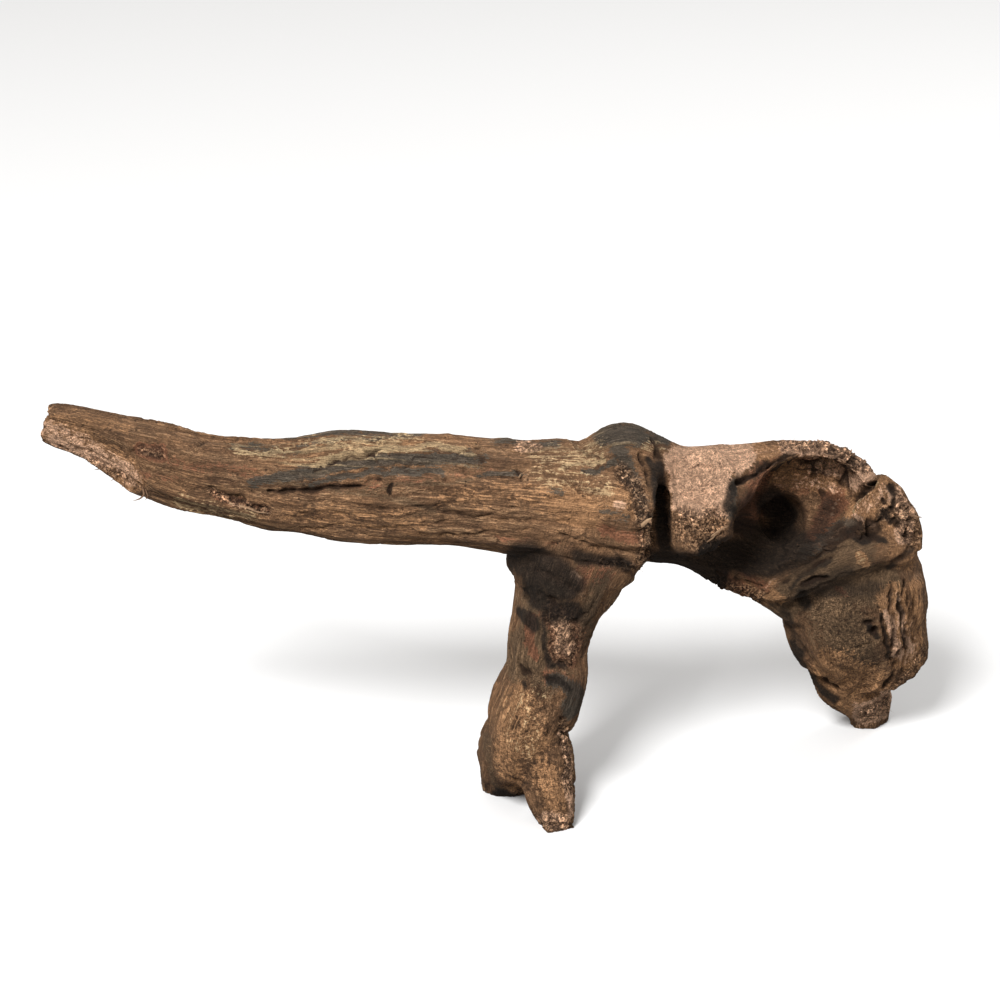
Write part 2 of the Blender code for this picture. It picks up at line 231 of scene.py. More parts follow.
@dataclass(frozen=True)
class Mark:
    """A line on the skin that sinks by depth, or rises where depth is negative. Points are on the sight plane."""

    name: str
    width: float
    depth: float
    points: tuple[Spot, ...]

    @property
    def long(self) -> bool:
        """Whether the line is more than four widths long from end to end, so that its ends taper."""
        return float(np.linalg.norm(np.subtract(self.points[-1], self.points[0]))) > 4 * self.width


@dataclass(frozen=True)
class Patch:
    """A stroke on the sight plane: full within half its width, fading to nothing at one and a half."""

    name: str
    width: float
    strength: float
    points: tuple[Spot, ...]


@dataclass(frozen=True)
class SightPlane:
    """The plane through aim, square to the line from eye to aim. Spots on it are across and up, in millimetres.

    Attributes:
        eye: Where the root is looked at from, in the drawing frame.
        aim: The point looked at.
    """

    eye: Point = (206.0, -1092.9, 680.9)
    aim: Point = (206.0, 40.0, 152.6)

    def axes(self) -> tuple[Array, Array, Array]:
        """The sight from eye to aim, and the plane's directions across and up."""
        sight = np.subtract(self.aim, self.eye)
        across = np.array((1.0, 0.0, 0.0))
        return sight, across, np.cross(across, unit(sight))

    def spots(self, points: Array) -> tuple[Array, Array, Array]:
        """Where points in the row frame show on the plane.

        spot = (away . across, away . up) times distance to aim / depth of the point along the sight.

        Args:
            points: Points in millimetres.
        Returns:
            Spots, directions to the eye, and distances from the eye.
        """
        sight, across, up = self.axes()
        away = points + MIDDLE - self.eye
        scale = (sight @ sight) / (away @ sight)
        return (
            np.column_stack((away @ across * scale, away @ up * scale)),
            unit(-away),
            np.linalg.norm(away, axis=1),
        )

    def at_depth(self, spots: Array, distances: Array) -> Array:
        """Points in the row frame that show at these spots, at these distances from the eye."""
        sight, across, up = self.axes()
        ray = unit(sight + spots[:, :1] * across + spots[:, 1:] * up)
        return np.array(self.eye) + ray * distances[:, None] - MIDDLE


def distance_to_line(spots: Array, line: tuple[Spot, ...]) -> tuple[Array, Array]:
    """How near each spot is to a line of straight steps on the sight plane.

    Args:
        spots: The spots.
        line: The line's corners.
    Returns:
        Distances, and the share of the line's length at the nearest place on it.
    """
    corners = np.array(line, float)
    lengths = np.linalg.norm(np.diff(corners, axis=0), axis=1)
    starts = np.concatenate(([0], np.cumsum(lengths))) / lengths.sum()
    away = np.full(len(spots), np.inf)
    along = np.zeros(len(spots))
    for number, (first, second) in enumerate(zip(corners[:-1], corners[1:])):
        step = second - first
        share = np.clip((spots - first) @ step / (step @ step), 0, 1)
        distance = np.linalg.norm(spots - first - share[:, None] * step, axis=1)
        nearer = distance < away
        away[nearer] = distance[nearer]
        along[nearer] = starts[number] + share[nearer] * (starts[number + 1] - starts[number])
    return away, along


class Noise:
    """Smooth noise between -1 and 1 from random values on the corners of unit cubes."""

    def __init__(self, seed: int, cells: int = 32) -> None:
        """Draws the table of random values, which wraps after cells cubes."""
        self.cells = cells
        self.table = np.random.default_rng(seed).uniform(-1, 1, (cells,) * 3)

    def __call__(self, points: Array) -> Array:
        """The noise at points: corner values weighted by 3 t^2 - 2 t^3 along each side of the cube."""
        cell = np.floor(points).astype(int)
        part = points - cell
        part = part * part * (3 - 2 * part)
        total = np.zeros(len(points))
        for corner in np.ndindex(2, 2, 2):
            weight = np.prod(np.where(corner, part, 1 - part), axis=1)
            total += weight * self.table[tuple(((cell + corner) % self.cells).T)]
        return total

    def fractal(self, points: Array, octaves: int, gain: float = 0.5) -> Array:
        """Sum of octaves, each at twice the rate and gain times the height of the one before."""
        heights = [gain**k * self(points * 2**k + k * OCTAVE_SHIFT) for k in range(octaves)]
        return sum(heights) / sum(gain**k for k in range(octaves))


class GrainField:
    """Grain coordinates of points: length along each limb, and up and side across it.

    Each limb has a weight exp(-GRAIN_BLEND reach), where reach is the distance to its path in mean radii.
    """

    def __init__(self, limbs: tuple[Limb, ...], points: Array, samples: int = 60) -> None:
        """Reads the coordinates of all points in every limb.

        Args:
            limbs: The limbs.
            points: Points in millimetres.
            samples: Samples of each limb's path.
        """
        row = np.arange(len(points))
        places, reaches, radii = [], [], []
        for limb in limbs:
            along = limb.frames(samples)
            steps = np.linalg.norm(np.diff(along.centres, axis=0), axis=1)
            length_at = np.concatenate(([0], np.cumsum(steps)))
            mean_radius = (along.half_height + along.half_depth) / 2
            square = (
                (points**2).sum(axis=1)[:, None] - 2 * points @ along.centres.T + (along.centres**2).sum(axis=1)
            )
            reach = np.sqrt(np.maximum(square, 0)) / mean_radius
            near = reach.argmin(axis=1)
            offset = points - along.centres[near]
            length = length_at[near] + (offset * along.tangents[near]).sum(axis=1)
            across = [(offset * axes[near]).sum(axis=1) for axes in (along.ups, along.sides)]
            places.append(np.column_stack((length, *across)))
            reaches.append(reach[row, near])
            radii.append(np.interp(length, length_at, mean_radius))
        self.places = np.stack(places)
        self.radii = np.stack(radii)
        weights = np.exp(-GRAIN_BLEND * np.stack(reaches))
        self.shares = weights / np.maximum(weights.sum(axis=0), np.finfo(float).tiny)

    def blend(self, height: Callable[[int, Array], Array], least: float = 0.02, tapered: bool = False) -> Array:
        """A height worked out in each limb's own coordinates, weighted by the limbs' shares.

        Args:
            height: Takes the limb's number and its places, and gives heights.
            least: A limb with a smaller share than this isn't asked.
            tapered: The places across the limb shrink with its radius, so that lines follow its taper.
        Returns:
            One height for each point.
        """
        total = np.zeros(self.places.shape[1])
        for number, (places, share) in enumerate(zip(self.places, self.shares)):
            rows = np.flatnonzero(share > least)
            if len(rows):
                at = places[rows]
                if tapered:
                    at = at * np.column_stack((np.ones(len(rows)), *[TAPER_RADIUS / self.radii[number, rows]] * 2))
                total[rows] += share[rows] * height(number, at)
        return total

    def two_nearest(self) -> tuple[Array, Array, Array]:
        """Tapered coordinates in the nearest limb and in the next one, and the nearest one's share of the two."""
        order = np.argsort(-self.shares, axis=0)[:2]
        row = np.arange(self.places.shape[1])
        found = []
        for number in order:
            at = self.places[number, row].copy()
            at[:, 1:] *= (TAPER_RADIUS / self.radii[number, row])[:, None]
            found.append(at + number[:, None] * LIMB_SHIFT)
        first, second = (self.shares[number, row] for number in order)
        return found[0], found[1], first / np.maximum(first + second, 1e-9)


# The limbs, with the solid's own values.
LIMBS: tuple[Limb, ...] = (
    Limb("stem", ACROSS_Y, 2.2, (
        (4, 32, 193.8, 10, 10),
        (26, 33, 186.5, 12.2, 12),
        (40, 33, 180, 14.6, 14),
        (53, 34, 175, 15.6, 16),
        (74, 34, 168.5, 17, 18),
        (95, 35, 165.5, 18.5, 20),
        (117, 35, 163, 20.8, 22.5),
        (138, 36, 161.5, 24, 25),
        (167, 36, 160.5, 24, 26),
        (195, 36, 158, 24, 26),
        (224, 36, 155.5, 25.5, 27),
        (246, 37, 152, 27.5, 28),
        (271, 38, 147.5, 26, 27),
    )),
    Limb("leg", ACROSS_Y, 2.2, (
        (242, 38, 140, 34, 26),
        (236.5, 36, 124, 28, 24),
        (235, 36, 114, 22.5, 22),
        (232, 35, 106, 19.8, 21),
        (229.5, 33, 95, 18.2, 20),
        (227, 31, 84, 17.8, 19),
        (227, 28, 73, 18.3, 18),
        (223.5, 26, 61, 20, 18),
        (219.5, 25, 51, 19.2, 18),
        (217.5, 25, 41, 17, 17),
        (217, 27, 30, 17.5, 16),
        (215, 30, 20, 13, 12),
    )),
    Limb("heel", ACROSS_Y, 2.6, (
        (217, 27, 52, 12, 11),
        (214.5, 30, 37, 15.5, 15),
        (212.5, 34, 24, 16, 14),
        (211, 40, 13, 14.8, 12),
        (209.5, 45, 4, 13, 10),
        (209.5, 47, -4, 11.5, 9),
    )),
    Limb("toe", ACROSS_Y, 2.2, (
        (223, 24, 46, 11, 10),
        (226, 21, 34, 13.5, 13),
        (228.5, 18, 22, 13, 12),
        (230, 15.5, 12, 11.5, 10.5),
        (231.5, 13.5, 6, 9.5, 8.5),
        (232.5, 12, 0, 7.5, 7),
        (232.5, 11, -5, 6, 6.5),
    )),
    Limb("hump", ACROSS_Y, 2.0, (
        (238, 37, 166, 8, 14),
        (249, 39, 173, 9.5, 16),
        (260, 42, 176, 11, 18),
        (273, 48, 170.5, 10.5, 16),
        (286, 57, 164, 9, 13),
    )),
    Limb("rim", ACROSS_Y, 2.0, (
        (282, 52, 165, 9, 14),
        (297, 56, 163, 8.5, 13),
        (311, 61, 161, 8, 12),
        (327, 68, 159.5, 8, 12),
        (342, 74, 157.5, 8, 12),
        (356, 78, 156.5, 8, 12),
        (365.5, 80, 151, 8, 12),
        (372, 80, 143.5, 8.5, 12),
        (377.5, 82, 130, 9, 14),
    )),
    Limb("back", ACROSS_Y, 2.6, (
        (250, 50, 145, 19, 12),
        (264, 57, 142, 24, 14),
        (280, 63, 137, 27, 14),
        (297, 68, 130.5, 25.5, 16),
        (318, 73, 116.5, 22.5, 19),
        (336, 77, 103, 19, 20),
        (352, 80, 90, 18, 22),
    )),
    Limb("stub", ACROSS_X, 2.8, (
        (300, 62, 136, 21, 14),
        (298, 48, 147, 22.5, 16),
        (296, 33, 158, 22, 16),
    )),
    Limb("tatter", ACROSS_X, 2.0, (
        (294, 36, 150, 12, 12),
        (292, 27, 141, 10, 9.5),
        (291.5, 21.5, 135, 6, 6),
    )),
    Limb("fold", ACROSS_Y, 2.0, (
        (347, 72, 159, 6, 8),
        (331, 60, 159, 8, 9),
        (318, 49, 159, 9, 9),
        (308, 40, 152, 8, 8),
        (302, 36, 143, 6, 7),
        (297, 33, 136, 5, 6),
    )),
    Limb("crown", ACROSS_Y, 2.3, (
        (304, 74, 134, 12, 16),
        (322, 77, 133, 25, 26),
        (345, 79, 129, 29, 29),
        (364, 81, 121, 28, 28),
        (382, 84, 111, 20, 22),
    )),
    Limb("lip", ACROSS_Y, 2.0, (
        (325, 66, 98, 6, 9),
        (338, 60, 101, 8, 10),
        (352, 56, 108, 9, 10),
        (366, 55, 115, 9, 10),
        (380, 60, 118, 9, 10),
        (391, 68, 116, 10, 12),
    )),
    Limb("foot", ACROSS_Y, 2.4, (
        (374, 79, 118, 26, 22),
        (371, 80.5, 100, 33, 28),
        (373.5, 83, 86, 34.5, 28.5),
        (375, 86, 72, 34.5, 27),
        (379, 90, 57, 31, 22),
        (381, 93, 46, 29.5, 18),
        (378.5, 96, 38, 24, 16),
        (378.5, 99, 30, 19, 13),
        (382.5, 102, 22, 16, 12),
        (386.5, 105, 14, 13, 10.5),
        (388.5, 108, 6, 11, 9.5),
        (389, 110, -4, 9.5, 8.5),
    )),
    Limb("ear", ACROSS_Y, 2.0, (
        (387, 66, 116, 15, 8),
        (388, 67, 127, 14, 5.5),
        (385.5, 68.5, 138, 10, 4.5),
        (380.5, 70, 152, 4, 3.5),
    )),
    Limb("burl", ACROSS_Y, 2.2, (
        (390, 74, 131, 8, 9),
        (393, 78, 124, 9.5, 12),
        (392, 82, 110, 10, 16),
        (394, 86, 94, 10, 16),
    )),
)

# The hollow, the kerf, the split and the break are taken away by cutters, lofted in the same way.
CUTTERS: tuple[Limb, ...] = (
    Limb("bowl", ACROSS_X, 2.0, (
        (352, 24, 160, 21, 29),
        (349, 46, 148, 21, 28),
        (348, 62, 142, 20, 27),
        (347, 73, 138.5, 19, 25.5),
        (346, 80, 136.5, 16.5, 22),
    )),
    Limb("trough", ACROSS_Y, 2.0, (
        (282, 36, 112, 10, 10),
        (296, 42, 119, 12, 13),
        (310, 48, 122, 13, 14),
        (324, 56, 124, 14, 15),
        (340, 68, 128, 14, 15),
    )),
    Limb("passage", ACROSS_X, 2.0, (
        (339, 62, 130, 13, 12),
        (337.5, 82, 124, 12.5, 11.5),
        (336, 95, 120, 8, 8),
    )),
    Limb("kerf", ACROSS_X, 3.0, (
        (277, -6, 142, 24, 4.6),
        (277.5, 20, 140, 24, 4.4),
        (278, 36, 138, 23, 4.2),
        (279, 46, 137, 20, 3.6),
    )),
    Limb("split", (0, 0.12, -0.99), 10, (
        (-8, 12.5, 192, 14, 13.2),
        (12, 12.3, 185, 14, 13.2),
        (32, 11.8, 178.4, 14, 13.2),
        (39, 10.5, 170, 14, 13.2),
        (47, 8, 158, 14, 13.2),
        (58, 3, 146, 14, 13.2),
    )),
    Limb("break", (0.65, 0, 0.76), 10, (
        (416.2, 68, 36.8, 15, 14),
        (416.2, 95, 24.2, 15, 14),
        (416.2, 122, 11.6, 15, 14),
    )),
)

# The solid's marks. The scene cuts them narrower and deeper.
MARKS: tuple[Mark, ...] = (
    Mark("long crack", 1.8, 3.0, ((-103.5, 3.5), (-90, 4), (-72, 5.5), (-61.5, 6.5), (-54.5, 9))),
    Mark("upper layer edge", 2.2, 1.6, (
        (-84.5, 13.5), (-67.5, 17.5), (-49.5, 22.5), (-31.5, 22), (-15, 20.5),
    )),
    Mark("top layer edge", 2.0, 1.2, ((-96, 26.5), (-72, 27), (-37.5, 27))),
    Mark("dark band edge", 2.0, 1.6, ((-102.5, 10.5), (-81, 13), (-54, 14.5), (-27, 16.5), (-10, 20))),
    Mark("upper bark edge", 1.8, 1.2, ((-122.5, 26.5), (-107, 22.5), (-90, 20), (-70, 22.5))),
    Mark("ring groove", 2.4, 1.6, ((-148, 28.5), (-147, 20), (-148, 11.5))),
    Mark("curved crack", 1.8, 2.2, ((-132.5, 27), (-134.5, 23), (-138.5, 19.5))),
    Mark("frayed scar", 3.0, 2.2, ((-129, 2.5), (-117, 0), (-105, -5.5))),
    Mark("upright crack", 1.5, 2.6, ((-49, 8.5), (-49, 2))),
    Mark("exit hole", 1.7, 4.0, ((-8.5, 18.5), (-8.5, 18))),
    Mark("short crack", 1.6, 1.8, ((-13.5, 10), (-1.5, 11), (9.5, 9.5))),
    Mark("long groove", 2.2, 1.6, (
        (-90, -5.5), (-54, -7.5), (-18, -8), (18, -9.5), (45, -13), (65.5, -15.5),
    )),
    Mark("low groove", 2.2, 1.5, ((-36, -15.5), (0, -16), (36, -20.5), (63.5, -24))),
    Mark("middle groove", 2.0, 1.4, ((-27, 2), (9, 0.5), (40.5, -1.5), (55, -5.5))),
    Mark("collar groove", 4.0, 2.2, ((43.5, 11), (46.5, 21.5), (51, 29.5))),
    Mark("torn end groove", 2.5, 1.8, ((53, 11.5), (57.5, 2), (60.5, -10))),
    Mark("kerf crack", 2.2, 4.0, ((63, 21.5), (65.5, 14.5), (68, 6.5))),
    Mark("stub top groove", 2.8, 3.0, ((70, 28), (72, 21.5), (74, 14.5))),
    Mark("flap gap", 2.8, 6.0, ((107, 7.5), (115.5, 13), (124, 17), (132, 21))),
    Mark("rim crack", 1.8, 2.6, ((133, 19), (142, 17), (151, 19), (156, 20))),
    Mark("inner crack", 1.8, 2.2, ((140.5, 16), (142, 8.5), (145.5, 1.5))),
    Mark("second inner crack", 1.8, 2.0, ((153, 17), (155.5, 10), (158.5, 2.5))),
    Mark("ear notch", 2.2, 5.0, ((160.5, 0.5), (164.5, 5), (168.5, 8.5))),
    Mark("hollow under the ear", 6.0, 6.0, ((148.5, -18.5), (154, -15), (160.5, -13), (168.5, -13.5))),
    Mark("left pit", 1.8, 3.0, ((158.5, -12), (159, -12.5))),
    Mark("right pit", 1.8, 3.0, ((162.5, -16), (163, -16))),
    Mark("lip ridge", 4.0, -1.6, ((122.5, -40.5), (135, -30.5), (151, -19), (157.5, -14.5))),
    Mark("lip fold", 1.8, 2.0, ((127, -38), (137.5, -32), (148.5, -25))),
    Mark("slit under the lip", 2.6, 4.0, ((137.5, -39), (142, -35), (145.5, -35.5))),
    Mark("oval pit", 5.0, 4.0, ((136.5, -45), (138.5, -47))),
    Mark("crease under the lip", 3.0, 1.5, (
        (126, -51.5), (135, -45), (142.5, -40.5), (150, -32.5), (163, -27.5), (175.5, -29.5), (185.5, -25),
    )),
    Mark("upper hole", 2.6, 4.5, ((165.5, -56), (166, -56))),
    Mark("lower hole", 2.6, 4.5, ((168.5, -59.5), (168.5, -60.5))),
    Mark("right groove", 2.2, 2.4, ((176.5, -38), (175.5, -50), (178, -60), (176, -72.5))),
    Mark("second right groove", 2.0, 2.4, ((182, -36), (180.5, -47), (183.5, -58), (183, -69))),
    Mark("third right groove", 1.8, 1.8, ((187.5, -45), (187, -54), (189.5, -61))),
    Mark("crescent fold", 4.0, 2.8, ((129.5, -47), (131, -56.5), (134, -67.5), (142, -77.5), (153, -86.5))),
    Mark("step groove", 2.6, 2.6, ((181, -67.5), (177.5, -77.5), (173, -85.5))),
    Mark("leg shadow groove", 5.0, 3.0, ((8, -27), (20, -33), (35, -41.5))),
    Mark("leg hollow", 6.0, 4.0, ((13.5, -44), (23.5, -46))),
    Mark("leg scar", 4.0, 2.4, ((24, -55), (32.5, -56), (33.5, -65.5), (27.5, -67.5))),
    Mark("leg pit", 2.6, 3.0, ((9.5, -76), (10.5, -77))),
    Mark("flank groove", 2.6, 2.0, ((28, -73), (25, -84), (26, -97))),
    Mark("cleft", 3.0, 1.6, ((13, -122), (11, -131.5))),
    Mark("leg ridge", 4.0, -1.6, ((3.5, -40.5), (2, -56), (1, -73))),
    Mark("red lump", 5.0, -3.5, ((96.5, -36), (104.5, -38))),
    Mark("right rim notch", 2.4, 2.6, ((162, 20), (157.5, 13.5))),
)

# Lines that are too fine for the solid.
FINE_MARKS: tuple[Mark, ...] = (
    Mark("edge of the split face", 0.9, 1.0, (
        (-204, 36), (-195.5, 34.5), (-187, 32.5), (-174.5, 28.5), (-169, 20), (-163.5, 9),
    )),
    Mark("crack on the split face", 0.6, 0.7, ((-198, 27), (-184.5, 21.5), (-175.5, 17))),
    Mark("second line on the split face", 0.6, 0.6, ((-200.5, 31.5), (-189, 27.5), (-178, 23))),
    Mark("knot crease", 0.9, 1.2, ((-167.5, 20), (-162, 25), (-156.5, 25.5), (-152, 22.5))),
    Mark("stem line, upper left", 0.7, 0.9, ((-144, 20), (-128, 19), (-108, 17))),
    Mark("stem line, left", 0.7, 0.8, ((-151, 13.5), (-130.5, 11.5), (-108, 10))),
    Mark("stem line, lower left", 0.7, 0.8, ((-144, 3.5), (-121.5, 5.5), (-99, 2.5), (-76.5, 0))),
    Mark("bark step", 1.0, 1.6, ((-84.5, 14), (-76.5, 17), (-67.5, 20), (-57.5, 20.5), (-49.5, 22.5))),
    Mark("bark step, right", 0.9, 1.3, ((-49.5, 22.5), (-39.5, 21.5), (-29, 23.5), (-16.5, 21.5))),
    Mark("upper bark step", 0.9, 1.3, ((-94.5, 25.5), (-76.5, 27.5), (-54, 28), (-34, 28.5))),
    Mark("thin bark step", 0.7, 1.0, ((-81, 23), (-67.5, 24.5), (-49.5, 26))),
    Mark("band line", 0.6, 0.9, ((-90, 9), (-72, 12.5), (-49.5, 16), (-27, 16.5))),
    Mark("second band line", 0.6, 0.9, ((-76.5, 11), (-58.5, 14), (-36, 15.5))),
    Mark("third band line", 0.6, 0.8, ((-67.5, 16), (-45, 19.5), (-22.5, 20))),
    Mark("crack end", 0.8, 1.6, ((-72, 6), (-61.5, 7), (-54.5, 9))),
    Mark("short upright", 0.7, 1.6, ((7.5, 15), (9.5, 10))),
    Mark("small pit on top", 0.9, 1.5, ((-25, 10), (-25, 9.5))),
    Mark("lower line", 0.7, 0.9, ((-90, -12.5), (-54, -13.5), (-22.5, -10), (13.5, -9))),
    Mark("lower line, right", 0.7, 0.9, ((-27, -16), (9, -13.5), (45, -20))),
    Mark("wavy line", 0.7, 1.0, ((27, 7), (36, 3.5), (45, 5.5))),
    Mark("long fine line", 0.6, 0.8, ((-54, 0), (-22.5, 3.5), (18, 6.5))),
    Mark("second fine line", 0.6, 0.8, ((-63, -4.5), (-27, -2), (9, 0), (27, -2))),
    Mark("third fine line", 0.6, 0.8, ((-45, -11.5), (-13.5, -7), (18, -5.5), (45, -9))),
    Mark("fourth fine line", 0.6, 0.8, ((-18, -2), (9, -3.5), (36, -6.5), (58.5, -8))),
    Mark("end line", 0.8, 1.2, ((27, -16), (45, -21.5), (63, -25))),
    Mark("second end line", 0.7, 1.0, ((36, -12.5), (52, -16), (64, -20))),
    Mark("line over the leg", 0.8, 1.4, ((3.5, -23.5), (18, -25), (31.5, -27), (49.5, -30.5))),
    Mark("stub crack", 0.7, 1.0, ((85.5, 13.5), (90, 15.5), (95.5, 16.5))),
    Mark("second stub crack", 0.7, 1.0, ((83, 2), (90, 6.5), (97, 9))),
    Mark("stub line", 0.6, 0.8, ((87.5, 10), (95.5, 13.5), (103.5, 15.5))),
    Mark("stub pit", 0.9, 1.2, ((85.5, 11), (86, 11))),
    Mark("second stub pit", 0.9, 1.2, ((92.5, 4), (93, 4))),
    Mark("rim line", 0.8, 1.2, ((110, 19), (121.5, 18), (130.5, 19))),
    Mark("second rim line", 0.7, 1.0, ((135, 17), (148.5, 19), (157.5, 15.5))),
    Mark("wall line", 0.8, 1.2, ((140.5, 13.5), (138.5, 4.5), (140.5, -2.5))),
    Mark("second wall line", 0.8, 1.0, ((146.5, 16), (148.5, 7), (145, -2))),
    Mark("third wall line", 0.7, 0.9, ((130.5, 13.5), (124, 8), (119, 0))),
    Mark("fourth wall line", 0.7, 0.9, ((126, 15.5), (117, 9), (112.5, 0))),
    Mark("wall line, right", 0.8, 1.0, ((155, 11), (154, 3.5), (157.5, 0))),
    Mark("lip line", 0.8, 1.0, ((121.5, -45), (133, -36), (146, -27), (157.5, -20))),
    Mark("second lip line", 0.8, 1.0, ((124, -47.5), (135, -39.5), (148.5, -30.5))),
    Mark("third lip line", 0.8, 1.0, ((130.5, -48.5), (142, -41.5), (155, -34), (171, -32.5))),
    Mark("foot swirl", 0.8, 0.8, ((142, -49.5), (148.5, -63), (162, -67.5), (173, -61))),
    Mark("second foot swirl", 0.8, 0.8, ((138.5, -56), (145, -72), (157.5, -79))),
    Mark("third foot swirl", 0.8, 0.8, ((148.5, -45), (157.5, -40.5), (171, -41.5), (177, -45))),
    Mark("fourth foot swirl", 0.8, 0.8, ((155, -76.5), (165.5, -77.5), (173, -72))),
    Mark("fifth foot swirl", 0.8, 0.8, ((157.5, -49.5), (163, -52), (171, -50.5))),
    Mark("foot low line", 0.8, 0.9, ((152, -90), (162, -85.5), (171, -82))),
    Mark("foot low line, left", 0.8, 0.9, ((144, -81), (155, -85.5))),
    Mark("leg line", 0.8, 1.0, ((5.5, -54), (3.5, -67.5), (4.5, -79))),
    Mark("second leg line", 0.8, 1.0, ((13.5, -67.5), (12.5, -75.5), (16, -85.5))),
    Mark("third leg line", 0.8, 1.0, ((20, -90), (21.5, -103.5), (20, -115))),
    Mark("leg fold", 0.9, 1.3, ((5.5, -79), (16, -77.5), (25, -81))),
    Mark("leg curl", 0.9, 1.2, ((24, -88), (25, -97), (28, -100))),
    Mark("heel line", 0.8, 1.0, ((-3.5, -119), (2, -121.5), (9, -126))),
    Mark("toe line", 0.8, 1.0, ((14.5, -124), (18, -133), (21.5, -140.5))),
    Mark("burl hole", 1.6, 2.6, ((173, 0), (173.5, -1))),
    Mark("second burl hole", 1.6, 2.6, ((178, -9), (179, -10))),
    Mark("third burl hole", 1.4, 2.2, ((183, -13.5), (183.5, -14.5))),
    Mark("ear, left edge", 0.8, 1.4, ((157.5, -6.5), (160, -2), (164.5, 3.5), (169, 9))),
    Mark("ear, lower edge", 0.8, 1.6, ((158.5, -8.5), (163, -12), (168.5, -11.5), (173, -8.5))),
    Mark("ear, right edge", 0.8, 1.4, ((176, 7.5), (178.5, 2), (177, -3.5), (173, -8.5))),
    Mark("ear fold", 0.7, 0.8, ((163, -3.5), (167.5, 1), (171, 5.5))),
    Mark("lip crease", 1.0, 1.8, (
        (119.5, -44), (128.5, -36), (138.5, -29), (149.5, -21.5), (158.5, -15.5),
    )),
    Mark("burl crease", 0.9, 1.4, ((184, -20.5), (181.5, -26), (174.5, -29.5), (167.5, -31.5))),
    Mark("foot groove", 1.0, 2.0, ((171, -48.5), (173, -61), (175, -70))),
    Mark("second foot groove", 0.9, 1.8, ((178.5, -42.5), (181, -56), (182, -67.5))),
    Mark("third foot groove", 0.8, 1.4, ((183.5, -40.5), (185.5, -54), (186.5, -65))),
    Mark("foot left fold", 1.0, 1.6, ((133, -70), (142, -77.5), (152, -85.5))),
    Mark("leg scar edge", 0.9, 1.4, ((20.5, -50.5), (22.5, -63), (25, -73), (31.5, -74))),
    Mark("rim lump crack", 0.8, 1.5, ((135, 27), (137, 21.5), (135, 17))),
    Mark("second rim lump crack", 0.8, 1.5, ((143, 28), (144, 22.5), (146.5, 18))),
    Mark("third rim lump crack", 0.8, 1.5, ((151, 27), (152, 21.5), (155.5, 17))),
    Mark("fourth rim lump crack", 0.8, 1.5, ((158.5, 23.5), (158.5, 18), (162, 13.5))),
    Mark("inner lump crack", 0.8, 1.4, ((133, 14.5), (142, 13.5), (151, 9), (157.5, 4.5))),
    Mark("second inner lump crack", 0.8, 1.4, ((146.5, 13.5), (145, 6.5), (147.5, 0))),
    Mark("third inner lump crack", 0.8, 1.2, ((155, 11), (152, 3.5), (154, -2.5))),
    Mark("strap crack", 0.9, 1.4, ((97, -32.5), (106, -36), (117, -39.5))),
    Mark("second strap crack", 0.8, 1.2, ((103.5, -40.5), (106, -36), (108, -33.5))),
    Mark("flowing line", 0.6, 0.9, ((-54, -9), (-27, -3.5), (0, 3.5), (18, 7))),
    Mark("second flowing line", 0.6, 0.9, ((-36, -12.5), (-9, -7), (18, 0), (40.5, 2.5))),
    Mark("third flowing line", 0.6, 0.8, ((-90, 0), (-63, -2), (-36, -7), (-13.5, -5.5))),
    Mark("fourth flowing line", 0.6, 0.8, ((-112.5, 13.5), (-90, 11), (-72, 7))),
    Mark("layer line", 0.6, 1.0, ((-119, 25), (-103.5, 26), (-90, 24.5))),
    Mark("second layer line", 0.6, 1.0, ((-117, 20.5), (-99, 21.5), (-85.5, 20))),
    Mark("third layer line", 0.6, 1.0, ((-45, 27), (-27, 27), (-9, 24.5))),
)

